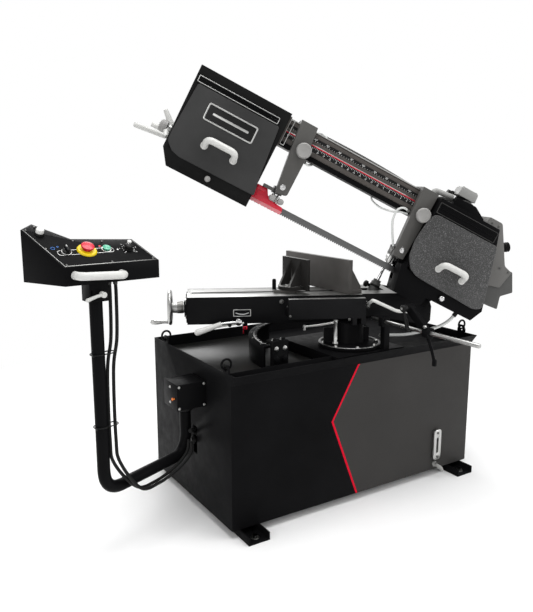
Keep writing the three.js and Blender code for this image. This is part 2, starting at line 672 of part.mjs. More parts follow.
// Drive cover on the far side: a tall upper part and a lower box
function driveCover() {
  const upper = [[460, 215], [452.5 + GAP, 60], [560, 100], [640, 120], [655, 196], [616, 206]];
  upper.push([520, 348], [460, 348]);
  const lower = [[470, 40], [640, 36], [680, 40], [664, 92], [704, 128], [660, 200]];
  lower.push([560, 180], [470, 120]);
  return join(plate('y', upper, 40, 170), plate('y', lower, 46, 150));
}

// Guide arm: a plate in front of the beam, hooked over its top, with a foot over the blade
function guideArm(at) {
  const { half, front, roller } = GUIDE;
  const back = BEAM.front - GAP;
  const outline = [[at - half, 309], [at + half, 309], [at + half - 4, 34], [at - half + 10, 34]];
  const slab = plate('y', outline, front, back);
  const hook = block(at - half, at + half, back - 1, BEAM.back + 12, BEAM.top + GAP, 309);
  const lip = block(at - half, at + half, BEAM.back + GAP, BEAM.back + 12, 262, 309);
  const foot = block(at - 21, at + 16, back - 1, -8, 34, 62);
  const axle = (side) => bar('z', 2, 36, at + side * roller, BLADE.v + side * 11.6, 4);
  const knobHole = bar('y', front - 1, back + 1, at + KNOB.off, KNOB.n, 7);
  return cut(join(slab, hook, lip, foot, axle(-1), axle(1)), knobHole);
}

function guideKnob(at) {
  const front = GUIDE.front - GAP;
  const s = at + KNOB.off;
  const outer = [[0, -22], [25, -22], [28, -18], [28, -6], [16, 0], [0, 0]];
  const profile = outer.map(([r, h]) => [r, front + h]);
  return join(turned('y', profile, s, KNOB.n, 20), bar('y', front - 2, BEAM.front - 2, s, KNOB.n, 6));
}

function guideRoller(at, side) {
  const profile = [[4 + GAP, 4], [10.5, 4], [10.5, 32], [4 + GAP, 32], [4 + GAP, 4]];
  return turned('z', profile, at + side * GUIDE.roller, BLADE.v + side * 11.6, 14);
}

function bladeGuard() {
  const channel = cut(block(-446, -389, -42, -12, -22, 20), block(-447, -388, -39, -15, -23, 17));
  const flap = block(-442, -300, -54, -51, -25, 0);
  const bridge = block(-440, -396, -52, -41, -22, -4);
  const hanger = block(-408, -392, -56, -50, -6, 50);
  const bracket = block(-408, GUIDE.left - 23, -79, -52, 36, 50);
  return join(channel, flap, bridge, hanger, bracket);
}

// ---- Feed cylinder, in the table's frame ----
const feedTilt = Math.atan2(FEED.topU - FEED.u, FEED.topZ - FEED.z);
const feed = new THREE.Group();
feed.position.set(FEED.u, FEED.v, FEED.z);
feed.rotation.y = feedTilt;
table.add(feed);
const FEED_LENGTH = Math.hypot(FEED.topU - FEED.u, FEED.topZ - FEED.z);

// The cylinder hangs on its trunnions, with a slim tail below them that takes the rod when it is driven in
function feedCylinder() {
  const { r, rod, tail, eye } = FEED;
  const trunnion = bar('y', -29, 29, 0, 0, 8);
  const boss = bar('y', -20, 20, 0, 0, eye);
  const barrel = bar('z', 8, 128, 0, 0, r);
  const gland = bar('z', 126, 138, 0, 0, 16);
  const sleeve = bar('z', -tail, 10, 0, 0, 12);
  return cut(join(trunnion, boss, barrel, gland, sleeve), bar('z', 4 - tail, 140, 0, 0, rod + GAP));
}

function feedRod() {
  const rod = bar('z', 8 + FEED.stroke - FEED.tail, FEED_LENGTH - 8, 0, 0, FEED.rod);
  const eye = bar('y', -12, 12, 0, FEED_LENGTH, 13);
  return join(rod, eye);
}

function feedKnob() {
  const body = bar('x', -FEED.r - 26, -FEED.r - GAP, 0, 104, 9);
  return join(body, bar('x', -FEED.r - 26, -FEED.r - 14, 0, 104, 12));
}

// ---- Pendant ----
function junctionBox() {
  const x = -CAB.length / 2;
  const inside = block(x - 109, x - 4, -136, -33, 433, 520);
  const shellBox = cut(block(x - 112, x - GAP, -139, -30, 430, 523), inside);
  const collar = bar('z', 414, 434, PENDANT.x, PENDANT.y, 27);
  return cut(join(shellBox, collar), bar('z', 410, 436, PENDANT.x, PENDANT.y, PENDANT.r + GAP));
}

function pendantArm() {
  const { x, y, run, endX, endY, top, r } = PENDANT;
  const path = roundedPath([[x, y, 450], [x, y, run], [endX, endY, run], [endX, endY, top]], 70);
  return pipe(path, r, 12, 26);
}

// Two leads bound together along the arm
function pendantCables() {
  const { x, y, run, endX, endY } = PENDANT;
  const length = Math.hypot(x - endX, y - endY);
  const [dx, dy] = [(x - endX) / length, (y - endY) / length];
  const beside = (along, out, drop) =>
    [endX + dx * along + dy * out, endY + dy * along - dx * out, run - drop];
  const lead = (out) => {
    const down = [[56, 30, PANEL.z + 8], [57, 30, 860], [48, 14, 740], [31, 8, 640], [29, 8, 420]];
    down.push([36, -2, 340]);
    const route = down.map(([px, py, z]) => [endX + px + out, endY + py, z]);
    route.push(beside(110, 29 + out, 16), beside(200, 24 + out, 36), beside(290, 28 + out, 20));
    route.push(beside(352, 34 + out, -16), [x - 2, y - 34 - out, run + 58]);
    return pipe(new THREE.CatmullRomCurve3(route.map((p) => new THREE.Vector3(...p))), 5.5, 6, 34);
  };
  return join(lead(0), lead(10));
}

function cableTail() {
  const wall = -CAB.length / 2;
  const { x, y, run } = PENDANT;
  const route = [[x, y - 38, run + 92], [x + 24, y - 20, run + 88], [wall - 12, -47, run + 60]];
  route.push([wall + 8, -43, run + 40], [wall + 30, -40, run + 20]);
  return pipe(new THREE.CatmullRomCurve3(route.map((p) => new THREE.Vector3(...p))), 7, 8, 16);
}

const PANEL_OUTLINE = [[0, 0], [302, 0], [263, 98], [70, 114], [-19, 186], [-60, 163]];

// A prism with a sloping top, from the panel's outline
function wedge(outline, floor, lift) {
  const shape = new THREE.Shape(outline.map(([p, q]) => new THREE.Vector2(p, q)));
  const g = new THREE.ExtrudeGeometry(shape, { depth: 10, bevelEnabled: false });
  const at = g.attributes.position;
  for (let i = 0; i < at.count; i++)
    at.setZ(i, at.getZ(i) > 5 ? PANEL.front + PANEL.slope * at.getY(i) + lift : floor);
  return solidOf(g);
}

// Where the pendant tube stands, in the control box's frame
function tubePlace() {
  const d = [PENDANT.endX - PANEL.x, PENDANT.endY - PANEL.y];
  const [c, s] = [Math.cos(PANEL.turn), Math.sin(PANEL.turn)];
  return [d[0] * c + d[1] * s, -d[0] * s + d[1] * c];
}

const BUTTONS = { stop: [95, 70], start: [158, 72], selector: [33, 70], speed: [228, 66] };

const BUTTON_HOLES = { stop: 11.4, start: 9.4, selector: 9.4, speed: 5.4 };

// A hole square to the sloping panel, in the control box's frame
function panelHole([p, q], r) {
  const g = new THREE.CylinderGeometry(r, r, 12, facets(r));
  g.rotateX(Math.PI / 2).translate(p, q, 0);
  return solidOf(g.rotateX(PANEL_TILT).translate(0, 0, PANEL.front));
}

function controlBox() {
  const [tx, ty] = tubePlace();
  const inset = [[4, 3], [296, 3], [260, 94.5], [68.5, 110.5], [-18.5, 181.5], [-56, 161.5]];
  let body = cut(wedge(PANEL_OUTLINE, 0, 0), wedge(inset, -1, -3.6));
  body = join(body, block(tx - 44, tx + 44, 2, 92, 0, 8));
  body = join(body, block(tx - 30, tx + 30, ty - 27, ty + 27, -56, 2));
  body = cut(body, bar('z', -60, -12, tx, ty, PENDANT.r + GAP));
  body = cut(body, block(tx - 24, tx - 21, ty - 40, ty, -60, -20));
  const holes = Object.entries(BUTTONS).map(([name, at]) => panelHole(at, BUTTON_HOLES[name]));
  return cut(body, ...holes);
}

function clampLever() {
  const [tx, ty] = tubePlace();
  const boss = bar('y', ty - 47, ty - 27 - GAP, tx + 8, -34, 9);
  const tip = [tx - 46, ty - 48, -44];
  return join(boss, rodBetween([tx + 8, ty - 40, -34], tip, 6, 12), ball(...tip, 8));
}

const mushroomStop = ([p, q]) => join(bar('z', -14, 16, p, q, 10.8), bar('z', 14, 22, p, q, 20, 16));
const startButton = ([p, q]) => join(bar('z', -12, 6, p, q, 8.8), bar('z', 5, 9, p, q, 12.5));
const selectorKnob = ([p, q]) =>
  join(bar('z', -12, 2, p, q, 8.8), bar('z', 0.6, 8, p, q, 13), block(p - 4, p + 4, q - 13, q + 13, 7, 19));
const speedKnob = ([p, q]) => join(bar('z', -12, 2, p, q, 4.8), bar('z', 0.8, 16, p, q, 14, 12));

// ---- The machine ----
piece(base, 'cabinet', 'black', cabinet());
for (const [end, row] of [[-1, 'front'], [1, 'back']])
  for (const [side, column] of [[-1, 'left'], [1, 'right']])
    piece(base, `foot_${row}_${column}`, 'black', foot(side, end));
piece(base, 'sight_gauge', 'steel', sightGauge());
piece(base, 'junction_box', 'black', junctionBox());
piece(base, 'turret_base', 'black', pedestal());
piece(base, 'mitre_scale_arc', 'black', mitreArc());
piece(base, 'square_stop', 'black', squareStop());
piece(base, 'work_stop_bar', 'steel', stopBar());
piece(base, 'work_stop_arm', 'black', stopArm());
piece(base, 'work_stop_lever', 'grey', stopLever());
piece(base, 'cable_tail', 'rubber', cableTail());

piece(table, 'turntable', 'black', turntable());
piece(table, 'vise_bed', 'iron', bed());
piece(table, 'rest_block', 'black', frontBlock());
piece(table, 'swivel_arm', 'black', swivelArm());
piece(table, 'mitre_lock_lever', 'white', mitreLever());
piece(table, 'jaw_lock_lever', 'steel', jawLever());
piece(table, 'handwheel', 'grey', handwheel());
piece(table, 'handwheel_grip', 'steel', handwheelGrip());
piece(table, 'lead_screw', 'steel', leadScrew());
piece(table, 'vise_carriage', 'iron', viseCarriage());
piece(base, 'movable_jaw', 'iron', movableJaw());
piece(base, 'fixed_jaw', 'iron', fixedJaw());

piece(bow, 'beam', 'iron', beam());
piece(bow, 'idler_housing', 'black', idlerHousing());
piece(bow, 'drive_housing', 'black', driveHousing());
piece(bow, 'idler_door', 'black', idlerDoor());
piece(bow, 'drive_door', 'grey', driveDoor());
piece(bow, 'blade', 'steel', bladeLoop());
piece(bow, 'idler_wheel', 'iron', wheelSolid(WHEEL.idler));
piece(bow, 'drive_wheel', 'iron', driveWheel());
piece(bow, 'idler_slide', 'iron', idlerSlide());
piece(bow, 'tension_handle', 'steel', tensionHandle());
piece(bow, 'hinge_bracket', 'black', hingeBracket());
piece(bow, 'gearbox', 'black', gearbox());
piece(bow, 'motor', 'grey', motor());
piece(bow, 'drive_cover', 'light', driveCover());
for (const [side, at] of [['left', GUIDE.left], ['right', GUIDE.right]]) {
  piece(bow, `${side}_guide_arm`, 'arm', guideArm(at));
  piece(bow, `${side}_guide_knob`, 'light', guideKnob(at));
  piece(bow, `${side}_front_roller`, 'steel', guideRoller(at, -1));
  piece(bow, `${side}_back_roller`, 'steel', guideRoller(at, 1));
}
piece(bow, 'blade_guard', 'red', bladeGuard());
piece(feed, 'feed_cylinder', 'grey', feedCylinder());
piece(feed, 'feed_rod', 'steel', feedRod());
piece(feed, 'feed_valve_knob', 'black', feedKnob());

piece(base, 'pendant_arm', 'black', pendantArm());
piece(base, 'pendant_cables', 'rubber', pendantCables());
piece(pendantBox, 'control_box', 'black', controlBox());
piece(pendantBox, 'box_clamp_lever', 'white', clampLever());
piece(panel, 'stop_button', 'red', mushroomStop(BUTTONS.stop));
piece(panel, 'start_button', 'green', startButton(BUTTONS.start));
piece(panel, 'selector_knob', 'black', selectorKnob(BUTTONS.selector));
piece(panel, 'speed_knob', 'black', speedKnob(BUTTONS.speed));

export default saw;
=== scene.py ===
import json
import math

import bmesh
import bpy
from mathutils import Matrix, Vector


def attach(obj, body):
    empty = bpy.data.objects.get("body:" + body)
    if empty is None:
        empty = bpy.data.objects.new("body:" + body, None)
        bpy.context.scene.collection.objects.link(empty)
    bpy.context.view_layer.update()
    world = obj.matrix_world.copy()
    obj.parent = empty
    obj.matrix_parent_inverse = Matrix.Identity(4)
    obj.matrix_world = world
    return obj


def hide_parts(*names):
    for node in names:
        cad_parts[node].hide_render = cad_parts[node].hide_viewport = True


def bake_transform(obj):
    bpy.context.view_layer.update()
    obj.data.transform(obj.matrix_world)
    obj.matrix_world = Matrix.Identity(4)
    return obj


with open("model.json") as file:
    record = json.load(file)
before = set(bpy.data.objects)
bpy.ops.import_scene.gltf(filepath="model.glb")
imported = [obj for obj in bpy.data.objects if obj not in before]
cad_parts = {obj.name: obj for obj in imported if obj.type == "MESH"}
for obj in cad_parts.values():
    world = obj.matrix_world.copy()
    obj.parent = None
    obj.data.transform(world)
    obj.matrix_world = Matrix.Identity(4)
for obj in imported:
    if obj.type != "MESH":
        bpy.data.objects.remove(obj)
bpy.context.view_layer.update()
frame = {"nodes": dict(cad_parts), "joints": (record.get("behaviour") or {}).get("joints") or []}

scene = bpy.context.scene

# ---------------------------------------------------------------- frames
JOINTS = {j["name"]: j for j in frame["joints"]}
MM = 0.001


def joint_at(name):
    return Vector(JOINTS[name]["pos_m"])


def joint_axis(name):
    return Vector(JOINTS[name]["axis"]).normalized()


def frame_at(origin, x, y, z):
    """A matrix that takes millimetres along x, y and z from origin to metres."""
    m = Matrix([x, y, z]).transposed().to_4x4() @ Matrix.Scale(MM, 4)
    m.translation = origin
    return m


UP = Vector((0, 0, 1))
ALONG_BED = joint_axis("handwheel_turn")
ACROSS = joint_axis("head_lift")
ALONG_BOW = joint_axis("left_guide_travel")
SQUARE_BOW = ALONG_BOW.cross(ACROSS)
TURRET = joint_at("mitre_swivel")

# Cabinet: x along it, y to its back, from the floor under its middle
BASE = frame_at(TURRET + Vector((-0.035, 0.18, -TURRET.z)), Vector((1, 0, 0)), Vector((0, 1, 0)), UP)
# Bed: u along it, v across it, from the floor under the turret
TABLE = frame_at(Vector((TURRET.x, TURRET.y, 0)), ALONG_BED, ACROSS, UP)
# Head: s along the blade, v across it, n square to it
HINGE_S, HINGE_N = 381, -66
BOW = frame_at(joint_at("head_lift") - (ALONG_BOW * HINGE_S + SQUARE_BOW * HINGE_N) * MM,
               ALONG_BOW, ACROSS, SQUARE_BOW)
# Feed cylinder: z along its rod, from its trunnion
ROD = joint_axis("rod_stroke")
FEED = frame_at(joint_at("cylinder_tilt"), ACROSS.cross(ROD), ACROSS, ROD)
# Control panel: x to the right, y up the slope, z out of it; and its box, level, from the floor
OUT = -joint_axis("stop_press")
SELECTOR = (33, 70, 8)
PANEL_X = OUT.cross(Vector((0, 0, 1))).normalized() * -1
PANEL_UP = OUT.cross(PANEL_X)
PANEL = frame_at(joint_at("selector_turn")
                 - (PANEL_X * SELECTOR[0] + PANEL_UP * SELECTOR[1] + OUT * SELECTOR[2]) * MM,
                 PANEL_X, PANEL_UP, OUT)
BOX = frame_at(Vector((*PANEL.translation.xy, 0)), PANEL_X, UP.cross(PANEL_X), UP)

# ---------------------------------------------------------------- materials
def linear(rgb):
    return [((c / 255 + 0.055) / 1.055) ** 2.4 if c > 10 else c / 255 / 12.92 for c in rgb]


class Look:
    """A node material with helpers that keep each look's own section short."""

    def __init__(self, name, metallic=0.0, specular=0.4, coat=0.0, coat_rough=0.1, ior=1.45):
        self.material = bpy.data.materials.new(name)
        self.material.use_nodes = True
        self.tree = self.material.node_tree
        self.shader = self.tree.nodes["Principled BSDF"]
        self.shader.inputs["Metallic"].default_value = metallic
        self.shader.inputs["Specular IOR Level"].default_value = specular
        self.shader.inputs["IOR"].default_value = ior
        self.shader.inputs["Coat Weight"].default_value = coat
        self.shader.inputs["Coat Roughness"].default_value = coat_rough
        self.where = self.node("ShaderNodeTexCoord").outputs["Object"]
        self.height = None

    def node(self, kind, **inputs):
        n = self.tree.nodes.new(kind)
        for key, value in inputs.items():
            n.inputs[key.replace("_", " ")].default_value = value
        return n

    def link(self, a, b):
        self.tree.links.new(a, b)

    def noise(self, scale, detail=3.0, rough=0.55, stretch=None):
        n = self.node("ShaderNodeTexNoise", Scale=scale, Detail=detail, Roughness=rough)
        source = self.where
        if stretch:
            m = self.node("ShaderNodeMapping")
            m.inputs["Scale"].default_value = stretch
            self.link(self.where, m.inputs["Vector"])
            source = m.outputs["Vector"]
        self.link(source, n.inputs["Vector"])
        return n.outputs["Fac"]

    def ramp(self, fac, stops):
        r = self.node("ShaderNodeValToRGB")
        elements = r.color_ramp.elements
        while len(elements) < len(stops):
            elements.new(0.5)
        for e, (pos, rgb) in zip(elements, stops):
            e.position = pos
            e.color = (*rgb, 1)
        self.link(fac, r.inputs["Fac"])
        return r.outputs["Color"]

    def spread(self, fac, low, high, start=0.3, end=0.7):
        m = self.node("ShaderNodeMapRange")
        for key, value in (("From Min", start), ("From Max", end), ("To Min", low), ("To Max", high)):
            m.inputs[key].default_value = value
        self.link(fac, m.inputs["Value"])
        return m.outputs["Result"]

    def mix(self, fac, a, b):
        m = self.tree.nodes.new("ShaderNodeMix")
        m.data_type = "RGBA"
        sockets = [s for s in m.inputs if s.type == "RGBA"]
        for socket, value in ((m.inputs[0], fac), (sockets[0], a), (sockets[1], b)):
            if hasattr(value, "is_linked"):
                self.link(value, socket)
            else:
                socket.default_value = value if isinstance(value, float) else (*value, 1)
        return [s for s in m.outputs if s.type == "RGBA"][0]

    def color(self, source):
        self.link(source, self.shader.inputs["Base Color"])

    def rough(self, source):
        self.link(source, self.shader.inputs["Roughness"])

    def bump(self, source, strength, distance=0.0005):
        b = self.node("ShaderNodeBump", Strength=strength, Distance=distance)
        self.link(source, b.inputs["Height"])
        if self.height:
            self.link(self.height, b.inputs["Normal"])
        self.height = b.outputs["Normal"]
        self.link(self.height, self.shader.inputs["Normal"])


def shade(rgb, k):
    return [min(1.0, c * k) for c in linear(rgb)]


def paint(name, rgb, rough=(0.35, 0.5), grain=(600, 0.15), drift=0.12, specular=0.35, coat=0.0, ior=1.45):
    """Painted or moulded surface: a fine grain, a slow drift of colour and uneven gloss."""
    look = Look(name, specular=specular, coat=coat, ior=ior)
    slow = look.noise(6, 4)
    look.color(look.ramp(slow, [(0.3, shade(rgb, 1 - drift)), (0.7, shade(rgb, 1 + drift))]))
    look.rough(look.spread(look.noise(40, 5), *rough))
    look.bump(look.noise(grain[0], 2), grain[1])
    return look


def metal(name, rgb, rough=(0.25, 0.4), stretch=(1, 1, 1), scale=160, strength=0.015, drift=0.05):
    """Bare metal with fine machining marks drawn out along one way."""
    look = Look(name, metallic=1.0, specular=0.5)
    marks = look.noise(scale, 6, 0.7, stretch)
    look.color(look.ramp(marks, [(0.3, shade(rgb, 1 - drift)), (0.7, shade(rgb, 1 + drift))]))
    look.rough(look.spread(look.noise(35, 4), *rough))
    look.bump(marks, strength, 0.0002)
    return look


def hammertone(name, rgb, speck):
    """Grey paint with pale specks and a dimpled skin."""
    look = Look(name, specular=0.25)
    cells = look.node("ShaderNodeTexVoronoi", Scale=260)
    look.link(look.where, cells.inputs["Vector"])
    fine = look.noise(400, 3, 0.6)
    flecks = look.ramp(fine, [(0.42, shade(rgb, 0.8)), (0.56, shade(rgb, 1.0)), (0.7, linear(speck))])
    cloud = look.ramp(look.noise(5, 3), [(0.35, shade(rgb, 0.7)), (0.7, shade(rgb, 1.5))])
    look.color(look.mix(0.45, flecks, cloud))
    look.rough(look.spread(fine, 0.32, 0.5))
    look.bump(cells.outputs["Distance"], 0.35, 0.0006)
    return look


def machined_top(name, top, side, level=0.9):
    """Painted casting whose upward faces are ground bright; a lower level takes in sloping edges."""
    look = Look(name, specular=0.15, ior=1.25)
    normal = look.node("ShaderNodeTexCoord").outputs["Normal"]
    split = look.node("ShaderNodeSeparateXYZ")
    look.link(normal, split.inputs["Vector"])
    up = look.spread(split.outputs["Z"], 0.0, 1.0, level, level + 0.07)
    marks = look.noise(500, 5, 0.7, (0.06, 1, 1))
    bright = look.ramp(marks, [(0.3, shade(top, 0.86)), (0.7, shade(top, 1.1))])
    dark = look.ramp(look.noise(7, 4), [(0.3, shade(side, 0.85)), (0.7, shade(side, 1.2))])
    look.color(look.mix(up, dark, bright))
    look.link(up, look.shader.inputs["Metallic"])
    look.rough(look.spread(look.noise(60, 4), 0.28, 0.42))
    look.bump(look.noise(500, 2), 0.05)
    return look


def chevron_panel(name, dark, grey, red):
    """Cabinet paint: black to the left of a slanted chevron on the front, dark grey to its right."""
    look = Look(name, specular=0.1, ior=1.2)
    middle = BASE.translation
    split = look.node("ShaderNodeSeparateXYZ")
    look.link(look.where, split.inputs["Vector"])

    def maths(operation, a, b):
        m = look.tree.nodes.new("ShaderNodeMath")
        m.operation = operation
        for socket, value in zip(m.inputs, (a, b)):
            if hasattr(value, "is_linked"):
                look.link(value, socket)
            else:
                socket.default_value = value
        return m.outputs[0]

    tip, tip_z, top, top_z, foot, foot_z = -0.151, 0.344, -0.033, 0.544, -0.027, 0.030
    rise = maths("SUBTRACT", split.outputs["Z"], tip_z)
    upper = maths("MULTIPLY", maths("MAXIMUM", rise, 0.0), (top - tip) / (top_z - tip_z))
    lower = maths("MULTIPLY", maths("MINIMUM", rise, 0.0), (foot - tip) / (foot_z - tip_z))
    edge = maths("ADD", maths("ADD", upper, lower), middle.x + tip)
    right = maths("GREATER_THAN", maths("SUBTRACT", split.outputs["X"], edge), 0.0)
    band = maths("LESS_THAN", maths("ABSOLUTE", maths("SUBTRACT", split.outputs["X"], edge), 0.0), 0.0045)
    front = maths("LESS_THAN", split.outputs["Y"], middle.y - 0.3215)
    low = maths("LESS_THAN", split.outputs["Z"], 0.546)
    on_front = maths("MULTIPLY", front, low)
    slow = look.noise(4, 4)
    black = look.ramp(slow, [(0.3, shade(dark, 0.8)), (0.7, shade(dark, 1.25))])
    pale = look.ramp(slow, [(0.3, shade(grey, 0.93)), (0.7, shade(grey, 1.07))])
    colour = look.mix(maths("MULTIPLY", right, on_front), black, pale)
    look.color(look.mix(maths("MULTIPLY", band, on_front), colour, linear(red)))
    look.rough(look.spread(look.noise(30, 5), 0.36, 0.5))
    look.bump(look.noise(900, 2), 0.08)
    return look


LOOKS = {
    "cabinet": chevron_panel("cabinet_paint", (17, 17, 18), (60, 59, 58), (208, 18, 45)),
    "tray": paint("tray_paint", (30, 30, 29), (0.3, 0.34), (300, 0.01), 0.08, 0.2),
    "black": paint("black_paint", (15, 15, 16), (0.3, 0.42), (700, 0.1), specular=0.12, ior=1.22),
    "wrinkle": paint("black_wrinkle", (52, 52, 52), (0.45, 0.6), (1100, 0.5), 0.18, 0.2),
    "crackle": paint("black_crackle", (22, 22, 22), (0.42, 0.55), (700, 0.4), 0.2, 0.14, ior=1.3),
    "hammer": hammertone("grey_hammertone", (62, 62, 62), (180, 180, 180)),
    "motor": paint("motor_grey", (54, 54, 53), (0.4, 0.55), (500, 0.25), 0.1, 0.2),
    "arm": paint("arm_grey", (80, 79, 77), (0.35, 0.48), (500, 0.12), 0.06, 0.25),
    "rail": paint("rail_taupe", (74, 70, 67), (0.34, 0.45), (500, 0.12), 0.06, 0.25),
    "pale": paint("pale_grey", (150, 150, 148), (0.36, 0.5), (500, 0.12), 0.05),
    "cover": paint("cover_grey", (104, 103, 101), (0.36, 0.5), (500, 0.12), 0.05, 0.25),
    "mid": paint("mid_grey", (80, 80, 79), (0.36, 0.5), (500, 0.12), 0.06, 0.25),
    "red": paint("signal_red", (206, 22, 50), (0.25, 0.4), (400, 0.08), 0.06, 0.4, 0.3),
    "lip": paint("worn_red_lip", (214, 128, 134), (0.35, 0.5), (400, 0.1), 0.08, 0.3),
    "white": paint("white_plastic", (222, 222, 219), (0.25, 0.4), (300, 0.05), 0.04, 0.5),
    "black_plastic": paint("black_plastic", (17, 17, 17), (0.35, 0.5), (500, 0.12), 0.15, 0.2),
    "grip": paint("grip_grey", (206, 206, 203), (0.22, 0.36), (300, 0.04), 0.04, 0.5),
    "knob": paint("knob_grey", (146, 145, 143), (0.35, 0.5), (400, 0.08), 0.05, 0.3),
    "yellow": paint("yellow_plastic", (240, 210, 20), (0.3, 0.42), (300, 0.05), 0.04, 0.5),
    "green": paint("green_plastic", (70, 172, 138), (0.2, 0.32), (300, 0.05), 0.05, 0.5, 0.4),
    "blue": paint("blue_print", (40, 98, 168), (0.35, 0.45), (300, 0.04), 0.05),
    "rubber": paint("cable_rubber", (20, 20, 20), (0.5, 0.65), (900, 0.2), 0.15, 0.2),
    "conduit": paint("grey_conduit", (70, 70, 69), (0.4, 0.55), (500, 0.15), 0.08, 0.3),
    "hose": paint("clear_hose", (206, 208, 206), (0.15, 0.3), (200, 0.04), 0.04, 0.5, 0.5),
    "orange": paint("orange_mark", (232, 122, 40), (0.35, 0.5), (300, 0.05), 0.05),
    "scale": paint("scale_black", (24, 24, 24), (0.3, 0.42), (300, 0.05), 0.1, 0.2),
    "tick": paint("tick_white", (236, 236, 234), (0.4, 0.5), (300, 0.04), 0.03),
    "silver": metal("silver_plate", (188, 188, 186), (0.32, 0.42), (1, 0.05, 1)),
    "steel": metal("bright_steel", (190, 190, 188), (0.26, 0.36), (1, 1, 0.1)),
    "screw": metal("dark_steel", (104, 104, 102), (0.3, 0.42)),
    "chrome": metal("chrome", (216, 216, 216), (0.1, 0.18), (1, 1, 1), 80, 0.008, 0.03),
    "blade": metal("blade_steel", (104, 104, 104), (0.3, 0.42), (0.05, 1, 1), 300, 0.03),
    "iron": metal("machined_iron", (140, 139, 136), (0.32, 0.45), (0.1, 1, 1), 300, 0.04),
    "jaw": machined_top("jaw_iron", (170, 170, 168), (86, 84, 82)),
    "ribbed": machined_top("ribbed_jaw_iron", (150, 150, 148), (38, 37, 36), 0.3),
    "bed": machined_top("bed_iron", (184, 184, 182), (19, 19, 20)),
    "arm_top": machined_top("arm_iron", (182, 182, 180), (24, 24, 25)),
}


# ---------------------------------------------------------------- shapes
def spot(axis, p, q, h):
    """The point at height h along axis, with p and q the other two coordinates in order."""
    return {"x": (h, p, q), "y": (p, h, q), "z": (p, q, h)}[axis]


def arc(cx, cy, r, start, end, steps):
    """Points round a centre, from one angle to another in degrees."""
    angles = [math.radians(start + (end - start) * i / steps) for i in range(steps + 1)]
    return [(cx + r * math.cos(a), cy + r * math.sin(a)) for a in angles]


def rounded(points, radius, steps=5):
    """An outline with each corner turned into an arc-like curve."""
    out = []
    for i, here in enumerate(points):
        p = Vector(here)
        before = Vector(points[i - 1]) - p
        after = Vector(points[(i + 1) % len(points)]) - p
        reach = min(radius, before.length * 0.48, after.length * 0.48)
        a = p + before.normalized() * reach
        b = p + after.normalized() * reach
        for k in range(steps + 1):
            t = k / steps
            out.append(tuple(a * (1 - t) ** 2 + p * 2 * t * (1 - t) + b * t * t))
    return out


def rectangle(x0, x1, y0, y1):
    return [(x0, y0), (x1, y0), (x1, y1), (x0, y1)]


def smooth_path(points, steps=8):
    """A Catmull-Rom curve through the points."""
    pts = [Vector(p) for p in points]
    pts = [pts[0] * 2 - pts[1], *pts, pts[-1] * 2 - pts[-2]]
    out = []
    for i in range(1, len(pts) - 2):
        a, b, c, d = pts[i - 1:i + 3]
        for k in range(steps):
            t = k / steps
            out.append(0.5 * (2 * b + (c - a) * t + (2 * a - 5 * b + 4 * c - d) * t ** 2
                              + (3 * b - a - 3 * c + d) * t ** 3))
    out.append(pts[-2])
    return out


def bent_path(points, radius, steps=7):
    """Straight runs with each corner rounded."""
    pts = [Vector(p) for p in points]
    out = [pts[0]]
    for a, p, b in zip(pts, pts[1:], pts[2:]):
        start = p + (a - p).normalized() * radius
        end = p + (b - p).normalized() * radius
        for k in range(steps + 1):
            t = k / steps
            out.append(start * (1 - t) ** 2 + p * 2 * t * (1 - t) + end * t * t)
    out.append(pts[-1])
    return out


